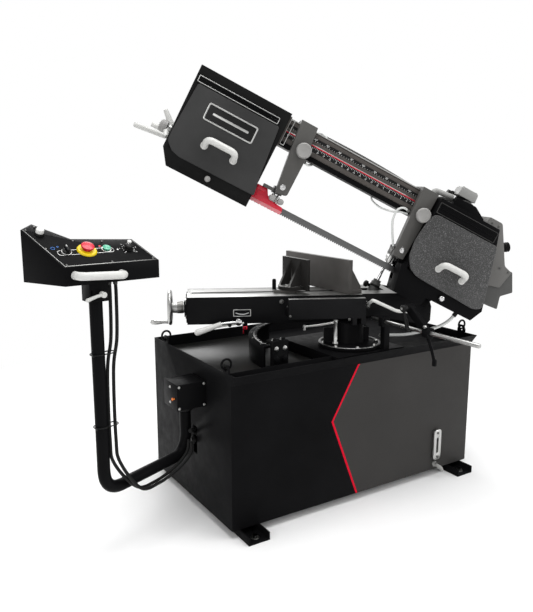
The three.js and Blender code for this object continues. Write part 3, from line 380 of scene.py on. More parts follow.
class Part:
    """Gathers shapes in one frame, in millimetres, into one object."""

    def __init__(self, place):
        self.place = place
        self.mesh = bmesh.new()
        self.looks = []
        self.look = 0

    def use(self, name):
        material = LOOKS[name].material
        if material not in self.looks:
            self.looks.append(material)
        self.look = self.looks.index(material)
        return self

    def take(self, bm, edge=0.0, steps=2, angle=35):
        bmesh.ops.recalc_face_normals(bm, faces=bm.faces)
        if edge:
            sharp = [e for e in bm.edges
                     if len(e.link_faces) == 2 and e.calc_face_angle(0) > math.radians(angle)]
            bmesh.ops.bevel(bm, geom=sharp, offset=edge, segments=steps, profile=0.5, affect="EDGES",
                            clamp_overlap=True)
        for face in bm.faces:
            face.material_index = self.look
        scratch = bpy.data.meshes.new("scratch")
        bm.to_mesh(scratch)
        bm.free()
        self.mesh.from_mesh(scratch)
        bpy.data.meshes.remove(scratch)
        return self

    def prism(self, axis, outline, a, b, edge=1.0, steps=2):
        bm = bmesh.new()
        low = [bm.verts.new(spot(axis, p, q, a)) for p, q in outline]
        high = [bm.verts.new(spot(axis, p, q, b)) for p, q in outline]
        bm.faces.new(low)
        bm.faces.new(high)
        for i in range(len(outline)):
            j = (i + 1) % len(outline)
            bm.faces.new((low[i], low[j], high[j], high[i]))
        return self.take(bm, edge, steps)

    def block(self, x0, x1, y0, y1, z0, z1, edge=1.0, steps=2):
        return self.prism("z", rectangle(x0, x1, y0, y1), z0, z1, edge, steps)

    def turned(self, axis, profile, p=0, q=0, sides=40):
        """Turns (radius, height) points about axis; ends off the axis are joined to it."""
        profile = list(profile)
        if profile[0][0] > 0:
            profile.insert(0, (0, profile[0][1]))
        if profile[-1][0] > 0:
            profile.append((0, profile[-1][1]))
        bm = bmesh.new()
        rings = []
        for r, h in profile:
            if r <= 0:
                rings.append([bm.verts.new(spot(axis, p, q, h))])
                continue
            angles = [2 * math.pi * i / sides for i in range(sides)]
            rings.append([bm.verts.new(spot(axis, p + r * math.cos(a), q + r * math.sin(a),
                                            h)) for a in angles])
        for low, high in zip(rings, rings[1:]):
            for i in range(sides):
                j = (i + 1) % sides
                corners = [low[i % len(low)], low[j % len(low)], high[j % len(high)], high[i % len(high)]]
                unique = list(dict.fromkeys(corners))
                if len(unique) > 2:
                    bm.faces.new(unique)
        return self.take(bm)

    def disc(self, axis, r, a, b, p=0, q=0, edge=1.0, sides=40):
        """A round bar or disc with softened rims."""
        e = min(edge, r * 0.4, abs(b - a) * 0.4) * (1 if b > a else -1)
        c = abs(e)
        profile = [(r - c, a), (r - 0.3 * c, a + 0.3 * e), (r, a + e), (r, b - e), (r - 0.3 * c,
                b - 0.3 * e), (r - c, b)]
        return self.turned(axis, profile, p, q, sides)

    def ring(self, axis, r0, r1, a, b, p=0, q=0, sides=40):
        bm = bmesh.new()
        loops = []
        for r, h in ((r0, a), (r1, a), (r1, b), (r0, b)):
            angles = [2 * math.pi * i / sides for i in range(sides)]
            loops.append([bm.verts.new(spot(axis, p + r * math.cos(t), q + r * math.sin(t),
                                            h)) for t in angles])
        for k in range(4):
            low, high = loops[k], loops[(k + 1) % 4]
            for i in range(sides):
                j = (i + 1) % sides
                bm.faces.new((low[i], low[j], high[j], high[i]))
        return self.take(bm, min(1.0, (r1 - r0) * 0.3))

    def tube(self, path, r, sides=14, r_end=None, wave=None):
        """A round bar along a path, tapered to r_end, or ribbed by wave = (pitch, depth)."""
        path = [Vector(p) for p in path]
        bm = bmesh.new()
        tangent = (path[1] - path[0]).normalized()
        side = tangent.orthogonal().normalized()
        loops = []
        run = 0.0
        for i, p in enumerate(path):
            ahead = path[min(i + 1, len(path) - 1)] - path[max(i - 1, 0)]
            turn = tangent.rotation_difference(ahead.normalized())
            tangent = ahead.normalized()
            side = (turn @ side).normalized()
            other = tangent.cross(side)
            here = r if r_end is None else r + (r_end - r) * i / (len(path) - 1)
            if i:
                run += (p - path[i - 1]).length
            if wave:
                here += wave[1] * math.cos(2 * math.pi * run / wave[0])
            angles = [2 * math.pi * k / sides for k in range(sides)]
            loops.append([bm.verts.new(p + side * here * math.cos(a) + other * here * math.sin(a))
                          for a in angles])
        for low, high in zip(loops, loops[1:]):
            for i in range(sides):
                j = (i + 1) % sides
                bm.faces.new((low[i], low[j], high[j], high[i]))
        bm.faces.new(loops[0])
        bm.faces.new(loops[-1])
        return self.take(bm)

    def ball(self, centre, r, sides=16):
        bm = bmesh.new()
        bmesh.ops.create_uvsphere(bm, u_segments=sides, v_segments=sides // 2 + 2, radius=r)
        bmesh.ops.translate(bm, verts=bm.verts, vec=Vector(centre))
        return self.take(bm)

    def bolt(self, axis, p, q, h, r=6, out=1, hexagon=True):
        """A washer and a screw head that stand out from height h, towards out = 1 or -1."""
        self.disc(axis, r * 1.5, h, h + 1.6 * out, p, q, 0.5, 24)
        if hexagon:
            sides = [(p + r * 1.1 * math.cos(math.pi * k / 3),
                      q + r * 1.1 * math.sin(math.pi * k / 3)) for k in range(6)]
            return self.prism(axis, sides, h + 1.4 * out, h + (1.4 + r * 0.75) * out, 0.6)
        top = h + (1.4 + r * 0.9) * out
        rim = [(r, h), (r, top - 0.8 * out), (r - 0.8, top), (r * 0.52, top), (r * 0.5, top - r * 0.5 * out)]
        return self.turned(axis, rim, p, q, 20)

    def text(self, words, size, axis_x, axis_y, origin, depth=0.4):
        """Raised characters, with their foot at origin and running along axis_x."""
        curve = bpy.data.curves.new("words", "FONT")
        curve.body = words
        curve.size = size
        curve.align_x = "CENTER"
        curve.align_y = "CENTER"
        curve.extrude = depth / 2
        curve.resolution_u = 2
        holder = bpy.data.objects.new("words", curve)
        scene.collection.objects.link(holder)
        bpy.context.view_layer.update()
        mesh = bpy.data.meshes.new_from_object(holder.evaluated_get(bpy.context.evaluated_depsgraph_get()))
        bpy.data.objects.remove(holder)
        bm = bmesh.new()
        bm.from_mesh(mesh)
        x, y = Vector(axis_x), Vector(axis_y)
        m = Matrix([x, y, x.cross(y)]).transposed().to_4x4()
        m.translation = Vector(origin)
        bmesh.ops.transform(bm, matrix=m, verts=bm.verts)
        return self.take(bm)

    def make(self, name, body, slot, replaces=(), angle=48, bend=None):
        """Ends the part: one named object that rides on a body, or, given bend, is baked into world space and
        attached to no body.
        """
        bmesh.ops.transform(self.mesh, matrix=self.place, verts=self.mesh.verts)
        if self.place.determinant() < 0:
            bmesh.ops.reverse_faces(self.mesh, faces=self.mesh.faces)
        mesh = bpy.data.meshes.new(name)
        self.mesh.to_mesh(mesh)
        self.mesh.free()
        for material in self.looks:
            mesh.materials.append(material)
        mesh.shade_smooth()
        mesh.set_sharp_from_angle(angle=math.radians(angle))
        obj = bpy.data.objects.new(name, mesh)
        scene.collection.objects.link(obj)
        if bend:
            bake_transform(obj)
        else:
            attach(obj, body)
        if replaces:
            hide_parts(*replaces)
        return obj


def dress(node, look, edge=0.0015, angle=30, steps=2):
    """Keeps a CAD node, with its own material and softened edges."""
    obj = frame["nodes"][node]
    obj.data.materials.clear()
    obj.data.materials.append(LOOKS[look].material)
    for face in obj.data.polygons:
        face.material_index = 0
    obj.data.shade_smooth()
    obj.data.set_sharp_from_angle(angle=math.radians(angle))
    if edge:
        weld = obj.modifiers.new("weld", "WELD")
        weld.merge_threshold = 0.00005
        flat = obj.modifiers.new("flat", "DECIMATE")
        flat.decimate_type = "DISSOLVE"
        flat.angle_limit = math.radians(2)
        bevel = obj.modifiers.new("edges", "BEVEL")
        bevel.width = edge
        bevel.segments = steps
        bevel.limit_method = "ANGLE"
        bevel.angle_limit = math.radians(angle)
        bevel.use_clamp_overlap = True
        bevel.harden_normals = False
    return obj


# ---------------------------------------------------------------- head: frame and blade
BLADE_V, BLADE_WIDE, BLADE_THICK = -27, 27, 1.2
WHEEL_R, IDLER_S, DRIVE_S = 150, -608, 342
WHEEL_N = WHEEL_R + 0.4 + BLADE_THICK - BLADE_WIDE / 2
DOOR_FRONT, DOOR_BACK = -114, -104.4
BEAM_LEFT, BEAM_RIGHT = -430, 192


def beam():
    p = Part(BOW).use("rail")
    front, back = -50, 20
    low, high = 195, 300
    p.prism("x", rectangle(front + 5, back, low, high - 2), BEAM_LEFT + 8, BEAM_RIGHT, 1.5)
    for n0, n1, out in ((214, 230, front), (278, 290, front), (254, 266, front + 1)):
        p.prism("x", rectangle(out, front + 8, n0, n1), BEAM_LEFT + 8, BEAM_RIGHT, 1.6, 3)
    p.prism("x", rounded([(front - 6, 191), (back + 8, 191), (back + 8, high + 3.6), (front - 6,
                                                                                      high + 3.6)], 5),
            BEAM_LEFT, BEAM_LEFT + 9, 1)
    p.use("scale")
    for n0, n1 in ((230, 254), (266, 278)):
        p.prism("x", rectangle(front + 2.4, front + 6, n0, n1), BEAM_LEFT + 10, BEAM_RIGHT, 0)
    p.use("black").prism("x", rounded([(front + 3, low), (back - 2, low), (back - 2, 213), (front + 3,
                                                                                            213)], 4),
                         BEAM_LEFT + 10, BEAM_RIGHT, 1)
    p.use("red").prism("x", rectangle(front + 0.6, front + 4, 248.5, 252), BEAM_LEFT + 10, BEAM_RIGHT, 0.3, 1)
    p.use("silver").prism("x", rectangle(front + 0.4, front + 4, 252, 254.4), BEAM_LEFT + 10, BEAM_RIGHT,
                          0.3, 1)
    p.prism("x", rectangle(front + 1, front + 10, high - 5, high - 1), BEAM_LEFT + 9, BEAM_RIGHT, 0.5)
    end, inner = rectangle(BEAM_LEFT + 8, BEAM_LEFT + 26, 200, 296), rectangle(BEAM_LEFT + 11,
                                                                               BEAM_LEFT + 23, 203, 293)
    frame_ring(p, "y", end, inner, front - 0.2, front + 1)
    p.use("screw")
    for n in (214, 286):
        p.bolt("x", front + 10, n, BEAM_LEFT, 4, -1, False)
    p.make("beam_profile", "head", "taupe_rail", ["beam"])

    t = Part(BOW).use("tick")
    face = front + 2.3
    for i in range(61):
        s = BEAM_LEFT + 22 + i * 10
        tall = 7 if i % 5 == 0 else 4
        t.block(s - 0.5, s + 0.5, face - 0.3, face + 0.2, 267, 267 + tall * 0.6, 0)
    for i in range(12):
        s = BEAM_LEFT + 22 + (i + 1) * 50
        t.text(str(600 - 50 * (i + 1)), 8, (1, 0, 0), (0, 0, 1), (s, face - 0.1, 274))
    for i in range(97):
        s = BEAM_LEFT + 22 + i * 6.35
        tall = 9 if i % 4 == 0 else 6 if i % 2 == 0 else 4
        t.block(s - 0.45, s + 0.45, face - 0.3, face + 0.2, 247 - tall, 247, 0)
    for i in range(24):
        s = BEAM_LEFT + 22 + (i + 1) * 25.4
        if s < BEAM_RIGHT - 8:
            t.text(str(24 - i), 7, (1, 0, 0), (0, 0, 1), (s, face - 0.1, 234.6))
    t.make("beam_scale_marks", "head", "white_plastic")


def blade():
    """A closed band, flat on the wheels and upright between the guides, toothed on its lower edge."""
    mid = WHEEL_R + 0.4 + BLADE_THICK / 2
    low, high = WHEEL_N - mid, WHEEL_N + mid
    twist_left, twist_right = (IDLER_S, -410), (225, DRIVE_S)
    pitch = 9.0
    tooth = 5.0
    stations = []

    def ease(t):
        return t * t * (3 - 2 * t)

    def add(s, n, along, twist):
        stations.append((s, n, along, twist))

    def straight(s0, s1, height, along, twist_of):
        count = max(2, 2 * round(abs(s1 - s0) / pitch))
        for i in range(count):
            s = s0 + (s1 - s0) * i / count
            add(s, height, along, twist_of(s))

    def arc_run(centre, start):
        count = 2 * round(math.pi * mid / pitch / 1.5)
        for i in range(count):
            a = start + math.pi * i / count
            add(centre + mid * math.sin(a), WHEEL_N - mid * math.cos(a), a, 0)

    quarter = math.pi / 2
    straight(twist_left[0], twist_left[1], low, 0,
             lambda s: quarter * ease((s - twist_left[0]) / (twist_left[1] - twist_left[0])))
    straight(twist_left[1], twist_right[0], low, 0, lambda s: quarter)
    straight(twist_right[0], twist_right[1], low, 0,
             lambda s: quarter * (1 - ease((s - twist_right[0]) / (twist_right[1] - twist_right[0]))))
    arc_run(DRIVE_S, 0)
    straight(DRIVE_S, IDLER_S, high, math.pi, lambda s: 0)
    arc_run(IDLER_S, math.pi)
    bm = bmesh.new()
    loops = []
    half, thin = BLADE_WIDE / 2, BLADE_THICK / 2
    for i, (s, n, along, twist) in enumerate(stations):
        inward = Vector((-math.sin(along), 0, math.cos(along)))
        wide = Vector((0, 1, 0)) * math.cos(twist) + inward * math.sin(twist)
        flat = inward * math.cos(twist) - Vector((0, 1, 0)) * math.sin(twist)
        centre = Vector((s, BLADE_V, n))
        tip = -half if i % 2 else -half + tooth
        loops.append([bm.verts.new(centre + wide * w + flat * t)
                      for w, t in ((tip, 0), (-half + tooth + 0.6, -thin), (half, -thin), (half, thin),
                                   (-half + tooth + 0.6, thin))])
    for a, b in zip(loops, loops[1:] + loops[:1]):
        for k in range(5):
            m = (k + 1) % 5
            bm.faces.new((a[k], a[m], b[m], b[k]))
    Part(BOW).use("blade").take(bm).make("toothed_blade", "head", "blade_steel", ["blade"], 25)


def wheel(name, s, body, node, shaft):
    """A cast band wheel with a solid web, a ribbed hub and a retaining cap."""
    p = Part(BOW).use("iron")
    half = 16
    front, back = BLADE_V - half, BLADE_V + half
    p.ring("y", WHEEL_R - 14, WHEEL_R - 0.2, front, back, s, WHEEL_N, 72)
    p.ring("y", 20, WHEEL_R - 12, BLADE_V - 5, BLADE_V + 5, s, WHEEL_N, 72)
    p.ring("y", 16, 40, front + 2, back - 2, s, WHEEL_N, 48)
    for k in range(5):
        a = 2 * math.pi * k / 5
        c, d = math.cos(a), math.sin(a)
        rib = [(s + c * r - d * w, WHEEL_N + d * r + c * w) for r, w in ((38, -5), (136, -4), (136, 4),
                                                                         (38, 5))]
        p.prism("y", rib, BLADE_V - 13, BLADE_V + 13, 1)
    p.use("steel")
    if shaft:
        p.disc("y", 14.8, -54, 55, s, WHEEL_N, 1, 32)
        p.disc("y", 25.5, -54, -46, s, WHEEL_N, 1.5, 40)
        p.use("iron").ring("y", 14, 21, BLADE_V - 12, BLADE_V + 12, s, WHEEL_N, 32)
    p.make(name, body, "machined_iron", [node])


def handle(name, body, s0, s1, n, tilt=24):
    """A bow handle that stands off a door, with its two mounting feet."""
    p = Part(BOW).use("grip")
    off = DOOR_FRONT - 32
    corners = [(s0, DOOR_FRONT - 1, n), (s0 + 2, off, n + tilt), (s1 - 3, off, n + tilt), (s1,
            DOOR_FRONT - 1, n)]
    p.tube(bent_path(corners, 22, 12), 12, 24)
    for s in (s0, s1):
        p.disc("y", 13.5, DOOR_FRONT - 3, DOOR_FRONT - 0.2, s, n, 1, 32)
    p.make(name, body, "white_plastic")


def rail_hinge(name, s0, s1, n0, n1, trim):
    """A long rolled hinge over a door: a folded channel with ribs and end caps."""
    p = Part(BOW).use("black")
    front = DOOR_FRONT + 1
    p.prism("x", rounded(rectangle(front, DOOR_BACK - 0.2, n0, n1), 2), s0, s1, 0.6)
    for k in range(3):
        n = n0 + (n1 - n0) * (0.2 + 0.3 * k)
        p.prism("x", [(front - 1.6, n - 1.6), (front + 2, n - 2.2), (front + 2, n + 2.2), (front - 1.6,
                n + 1.6)], s0 + 3, s1 - 3, 0.5)
    p.use(trim)
    border, hollow = rounded(rectangle(s0, s1, n0, n1), 4), rounded(rectangle(s0 + 2.4, s1 - 2.4, n0 + 2.4,
                                                                              n1 - 2.4), 3)
    frame_ring(p, "y", border, hollow, front - 1.8, front + 0.6)
    middle = (n0 + n1) / 2
    p.block(s0 + 2, s1 - 2, front - 1.6, front + 0.6, middle - 0.9, middle + 0.9, 0.3)
    p.make(name, "head", "black_paint")


IDLER_DOOR = [(-777, 62), (-776, 25), (-750, 0), (-718, -9), (-424, -9), (-436, 60), (-440, 115), (-452,
        244), (-765, 244)]
DRIVE_DOOR = [(180, 119), (190, 56), (217, 18), (250, 4), (290, 1), (512, -8), (541, 8), (538, 32), (475,
                                                                                                     240),
              (216, 240), (200, 231), (186, 180)]


def door(name, outline, look, body, node, slot, round_by):
    """A pressed door skin: one flat slab with rounded corners and bevelled edges."""
    p = Part(BOW).use(look)
    shape = rounded(outline, round_by, 6)
    p.prism("y", shape, DOOR_FRONT, DOOR_BACK - 0.2, 2.4, 3)
    p.make(name, body, slot, [node])


def badge():
    """A plain oblong plate with a raised silver border on the idler door."""
    p = Part(BOW)
    s0, s1, n0, n1 = -702, -513, 144, 206
    p.use("scale").prism("y", rounded(rectangle(s0 + 3, s1 - 3, n0 + 3, n1 - 3), 6), DOOR_FRONT - 1.0,
                         DOOR_FRONT + 0.5, 0.4)
    p.use("silver")
    path = rounded(rectangle(s0, s1, n0, n1), 9, 8)
    inner = rounded(rectangle(s0 + 5, s1 - 5, n0 + 5, n1 - 5), 6, 8)
    frame_ring(p, "y", path, inner, DOOR_FRONT - 1.8, DOOR_FRONT - 0.2)
    bar = rounded(rectangle(s0 + 26, s1 - 26, n0 + 27, n1 - 27), 3)
    p.prism("y", bar, DOOR_FRONT - 1.7, DOOR_FRONT - 0.6, 0.3)
    p.make("door_badge_plate", "idler_cover", "light_grey_paint")


def frame_ring(p, axis, outer, inner, a, b):
    """A flat border between two outlines with the same number of points."""
    bm = bmesh.new()
    loops = [[bm.verts.new(spot(axis, x, y, h)) for x, y in line]
             for line, h in ((outer, a), (inner, a), (inner, b), (outer, b))]
    for k in range(4):
        low, high = loops[k], loops[(k + 1) % 4]
        for i in range(len(outer)):
            j = (i + 1) % len(outer)
            bm.faces.new((low[i], low[j], high[j], high[i]))
    p.take(bm, 0.3, 1)


def thumb_screw(name, s, n, r=10, look="knob"):
    p = Part(BOW).use(look)
    front = -104
    p.turned("y", [(r * 0.55, front - 0.4), (r * 0.6, front - 4), (r, front - 5), (r, front - 13), (r - 2,
            front - 15),
                   (r * 0.5, front - 15.6)], s, n, 32)
    for k in range(20):
        a = 2 * math.pi * k / 20
        p.disc("y", 0.9, front - 12.5, front - 5.5, s + r * math.cos(a), n + r * math.sin(a), 0.3, 6)
    p.make(name, "head", "grey_plastic")


def housings():
    dress("idler_housing", "crackle", 0.002)
    dress("drive_housing", "black", 0.002)
    door("idler_door_skin", IDLER_DOOR, "wrinkle", "idler_cover", "idler_door", "black_paint", 9)
    door("drive_door_skin", DRIVE_DOOR, "hammer", "drive_cover_door", "drive_door", "grey_paint", 12)
    badge()
    handle("idler_door_handle", "idler_cover", -656, -544, 66)
    handle("drive_door_handle", "drive_cover_door", 312, 416, 66)
    rail_hinge("idler_hinge_rail", -772, -462, 247.5, 271, "silver")
    rail_hinge("drive_hinge_rail", 200, 454, 243.5, 285, "motor")
    thumb_screw("idler_cover_screw", -596, -31)
    thumb_screw("drive_cover_screw", 380, -26, 10, "chrome")


# ---------------------------------------------------------------- head: guides
LEFT_ARM = [(-389, 309), (-324, 309), (-313, 185), (-314, 49), (-320, 43), (-358, 36), (-376, 184)]
RIGHT_ARM = [(124, 309), (190.5, 309), (190, 176), (186, 36), (142, 34), (131, 195)]


def guide_arm(side, outline, knob_s, foot, body):
    p = Part(BOW).use("arm")
    p.prism("y", rounded(outline, 3), -80, -50.4, 2.2, 3)
    s0, s1 = outline[0][0], outline[1][0]
    p.block(s0, s1, -54, 32, 300.5, 309, 1.5)
    p.block(s0, s1, 21, 32, 262, 309, 1.5)
    p.block(*foot, -54, -8, 36, 62, 1.5)
    p.use("chrome")
    middle = (outline[-2][0] + outline[2][0]) / 2 if side == "right" else -342
    p.bolt("y", middle, 66, -80, 7, -1, False)
    p.use("steel")
    for sign in (-1, 1):
        s, v = knob_s - 10 + sign * 9, BLADE_V + sign * 11.6
        p.disc("z", 3.9, 1.5, 37, s, v, 0.6, 20)
        p.disc("z", 6.5, 0.4, 3.2, s, v, 0.6, 20)
    p.make(f"{side}_guide_casting", body, "arm_grey", [f"{side}_guide_arm"])

    k = Part(BOW).use("knob")
    front = -80.4
    k.turned("y", [(15, front), (17, front - 2), (27, front - 5), (28, front - 8), (28, front - 18), (26.6,
            front - 20.6),
                   (24, front - 22), (23, front - 21.3), (0, front - 21.3)], knob_s, 214, 56)
    k.use("steel").disc("y", 5.8, front - 3, -53, knob_s, 214, 0.5, 20)
    k.make(f"{side}_clamp_knob", f"{side}_knob", "grey_plastic", [f"{side}_guide_knob"])

    for which, sign in (("front", -1), ("back", 1)):
        r = Part(BOW).use("steel")
        s, v = knob_s - 10 + sign * 9, BLADE_V + sign * 11.6
        r.ring("z", 8.2, 10.5, 4, 32, s, v, 32)
        r.ring("z", 4.5, 6.2, 5, 31, s, v, 32)
        r.use("black_plastic").ring("z", 6.0, 8.4, 6, 30, s, v, 32)
        r.make(f"{side}_{which}_bearing_race", f"{side}_{which}_bearing", "bright_steel",
               [f"{side}_{which}_roller"])


def blade_guard():
    p = Part(BOW).use("red")
    wall = [(-41.8, 20), (-41.8, -21.8), (-39, -21.8), (-39, 17.2), (-15, 17.2), (-15, -21.8), (-12.2,
            -21.8), (-12.2, 20)]
    p.prism("x", wall, -446, -389, 0.8)
    flap = [(-441, -14), (-440, 18), (-426, 39), (-386, 39), (-374, 18), (-353, 6), (-306, 1), (-301, -14)]
    p.prism("y", rounded(flap, 4, 3), -54, -51, 0.7)
    p.block(-440, -396, -52, -41, -22, -4, 0.8)
    p.prism("y", rounded([(-424, 22), (-388, 22), (-388, 38), (-424, 38)], 4, 3), -60, -53, 1.2)
    p.use("lip")
    wave = [(-301, -13)] + [(-304 - 6.8 * k, -24 - 3 * (k % 2)) for k in range(21)] + [(-441, -13)]
    p.prism("y", wave, -54.6, -51.4, 0.5)
    p.use("arm")
    p.block(-408, -368, -79, -61, 38, 50, 1.2)
    p.block(-392, -380, -61, -50, 38, 50, 0.8)
    p.use("knob")
    for s in (-360, -326):
        p.disc("y", 11, -96, -56, s, 16, 1.8, 32)
    p.make("red_blade_guard", "left_guide", "red_paint", ["blade_guard"])


# ---------------------------------------------------------------- head: drive
MOTOR = (356, 292)


def motor():
    s, n = MOTOR
    p = Part(BOW).use("motor")
    p.disc("y", 68, 46, 286, s, n, 4, 64)
    for k in range(40):
        a = 2 * math.pi * k / 40
        if 0.9 < a < 2.25:
            continue
        c, d = math.cos(a), math.sin(a)
        rib = [(s + c * r - d * w, n + d * r + c * w) for r, w in ((66, -1.3), (76.6, -0.9), (76.6, 0.9),
                                                                   (66, 1.3))]
        if min(q for _, q in rib) > 214.8:
            p.prism("y", rib, 60, 276, 0)
    p.use("black")
    fin = rounded([(s - 64, 300), (s - 60, 350), (s + 28, 353), (s + 84, 322), (s + 88, 300)], 6)
    for k in range(5):
        p.prism("y", fin, 30 + 5 * k, 33 + 5 * k, 0.6)
    p.prism("y", rounded([(s - 58, 300), (s - 54, 345), (s + 26, 347), (s + 78, 318), (s + 80, 300)], 6),
            32, 52, 0.6)
    p.use("motor")
    p.turned("y", [(70, 280), (76.5, 284), (76.5, 292), (73, 308), (62, 317), (24, 318), (22, 314), (0,
            314)], s, n, 64)
    p.use("black").prism("y", rounded([(s - 44, 340), (s + 20, 340), (s + 12, 366), (s - 36, 366)], 4), 64,
                         112, 2)
    p.use("pale")
    p.prism("y", rounded([(s - 52, 366), (s + 28, 366), (s + 25, 398), (s + 18, 404), (s - 44, 404),
                          (s - 50, 398)], 3),
            58, 118, 2, 3)
    p.tube(bent_path([(214, 70, 304), (214, 70, 338), (s - 56, 84, 350)], 16, 6), 11, 20)
    p.disc("z", 15, 300, 316, 214, 70, 2, 28)
    p.use("steel")
    for ds in (-42, 16):
        for v in (66, 110):
            p.disc("z", 4, 402, 406, s + ds, v, 0.8, 16)
    p.use("black_plastic")
    p.turned("x", [(12, s - 78), (13, s - 62), (16, s - 60), (16, s - 55)], 110, 362, 20)
    p.make("motor_casting", "head", "grey_paint", ["motor"])


def gearbox():
    dress("gearbox", "mid", 0.003)
    dress("hinge_bracket", "black", 0.003)
    p = Part(BOW).use("steel")
    for s, n in ((256, 56), (436, 56), (256, 198), (436, 198), (346, 200)):
        p.bolt("y", s, n, 150, 6, 1, False)
    for s in (256, 300, 400, 440):
        p.bolt("z", s, 24, 214, 5, 1)
    p.use("mid")
    for k in range(6):
        s = 270 + 30 * k
        p.block(s, s + 5, 149, 156, 66, 196, 1)
    p.use("steel").disc("y", 11, 149.5, 158, 420, 120, 1.5, 6)
    p.make("gearbox_fittings", "head", "bright_steel")


COVER_UPPER = [(460, 215), (453, 60), (560, 100), (640, 120), (655, 196), (616, 206), (520, 348), (460, 348)]
COVER_LOWER = [(470, 40), (640, 36), (680, 40), (664, 92), (704, 128), (660, 200), (560, 180), (470, 120)]


def drive_cover():
    p = Part(BOW).use("cover")
    p.prism("y", rounded(COVER_UPPER, 8, 4), 40, 170, 3, 3)
    p.use("mid").prism("y", rounded(COVER_LOWER, 6, 4), 46, 150, 3, 3)
    p.use("screw")
    for s, n in ((480, 330), (510, 330), (640, 190), (600, 190)):
        p.bolt("y", s, n, 40, 3, -1, False)
    p.use("black_plastic")
    root, out = Vector((584, 118, 262)), Vector((0.83, 0, 0.56))
    p.tube([root - out * 24, root + out * 9, root + out * 16], 11, 24)
    p.tube([root + out * 12 + out * 2 * k for k in range(20)], 19, 28, wave=(7, 1.6))
    p.make("drive_cover_shell", "head", "light_grey_paint", ["drive_cover"])


def tension():
    v, n = 22, 67
    p = Part(BOW).use("steel")
    p.disc("x", 8, -830, IDLER_S - 12, v, n, 1, 24)
    for k in range(5):
        x = -784 - 3.2 * k
        p.turned("x", [(12, x), (19 if k % 2 else 17, x - 0.6), (19 if k % 2 else 17, x - 2.2), (12,
                x - 2.8)], v, n, 36)
    p.turned("x", [(10, -804), (16, -806), (17.5, -812), (17.5, -828), (14, -835), (6, -836)], v, n, 36)
    p.use("knob").turned("x", [(18, -803), (24, -806), (24, -826), (18, -833)], v, n, 40)
    hub = Vector((-808, v, n))
    arms = (((-40, -31), (-116, -14, -13), 9, 10.4), ((2, 16), (-44, 6, 40), 12, 8.4), ((40, -12),
            (-70, 14, 2), 9, 10))
    for (dv, dn), reach, r, r_end in arms:
        root = hub + Vector((14, dv, dn))
        tip = root + Vector(reach)
        p.use("grip").tube([hub, hub.lerp(root, 0.5), root], 10, 20, r)
        p.tube([root, root.lerp(tip, 0.3), root.lerp(tip, 0.7), root.lerp(tip, 0.98)], r, 22, r_end)
        p.tube([root.lerp(tip, 0.975), tip], r_end * 0.96, 22, r_end * 0.6)
    p.make("tension_spider", "tensioner", "bright_steel", ["tension_handle"])
    dress("idler_slide", "iron", 0.002)


def feed():
    p = Part(FEED).use("mid")
    p.ring("z", 7.8, 20, -17, 128, 0, 0, 48)
    p.ring("z", 7.8, 16, 128, 139, 0, 0, 40)
    p.ring("z", 7.8, 12, -55, -16, 0, 0, 32)
    p.disc("z", 12, -56, -50, 0, 0, 1, 32)
    for side in (-1, 1):
        p.use("mid").disc("y", 17, 9 * side, 20 * side, 0, 0, 2, 32)
        p.use("steel").disc("y", 7.9, 20 * side, 29 * side, 0, 0, 1, 24)
    p.use("black_plastic")
    for h in (22, 108):
        p.turned("z", [(20, h), (21.4, h + 1.5), (21.4, h + 8), (20, h + 9.5)], 0, 0, 40)
    p.make("feed_cylinder_body", "cylinder", "grey_paint", ["feed_cylinder"])
    span = 243.7
    r = Part(FEED).use("chrome")
    r.disc("z", 6.9, 46, span - 10, 0, 0, 0.6, 32)
    r.use("steel").disc("y", 13, -12, 12, 0, span, 2, 32)
    r.disc("y", 6, -24, 24, 0, span, 1, 24)
    r.turned("z", [(9, span - 22), (11, span - 20), (11, span - 11), (8, span - 9)], 0, 0, 6)
    r.make("feed_piston_rod", "piston_rod", "bright_steel", ["feed_rod"])
    k = Part(FEED).use("black_plastic")
    k.turned("x", [(6, -20.6), (7, -28), (11.5, -31), (12, -42), (9, -45.5), (0, -46)], 0, 104, 28)
    for i in range(16):
        a = 2 * math.pi * i / 16
        k.disc("x", 1, -43, -31, 12 * math.cos(a), 104 + 12 * math.sin(a), 0.3, 6)
    k.make("feed_valve_cap", "feed_valve", "black_plastic", ["feed_valve_knob"])


def hoses():
    """The conduit behind the beam, and the pale coolant hose that loops out of each guide casting."""
    p = Part(BOW).use("conduit")
    run = [(-452, 44, 292), (-400, 44, 304), (-240, 44, 312), (-65, 44, 313), (110, 44, 306), (205, 44, 290)]
    p.tube(smooth_path(run, 50), 5.2, 12, wave=(7, 0.8))
    p.make("beam_conduit", "head", "cable_rubber")

    left = [(-325, 27, 300), (-292, 30, 313), (-256, 32, 302), (-246, 32, 258), (-262, 24, 206), (-285, -12,
                                                                                                  185),
            (-300, -48, 181), (-314, -64, 184)]
    right = [(126, -57, 206), (100, -57, 208), (82, -57, 190), (84, -57, 152), (103, -57, 114), (124, -58,
            80), (139, -60, 56)]
    for side, route in (("left", left), ("right", right)):
        q = Part(BOW).use("hose")
        q.tube(smooth_path(route, 8), 4.2, 14)
        if side == "right":
            feed_line = [(-16, 8, 197), (-4, -2, 182), (30, -28, 172), (70, -44, 178), (98, -50, 190), (125,
                    -55, 196)]
            q.tube(smooth_path(feed_line, 8), 3.4, 12)
        for a, b in ((route[0], route[1]), (route[-1], route[-2])):
            a, b = Vector(a), Vector(b)
            q.use("screw").tube([a, a.lerp(b, 0.2), a.lerp(b, 0.4)], 6, 6)
        q.make(f"{side}_coolant_hose", f"{side}_guide", "light_grey_paint")


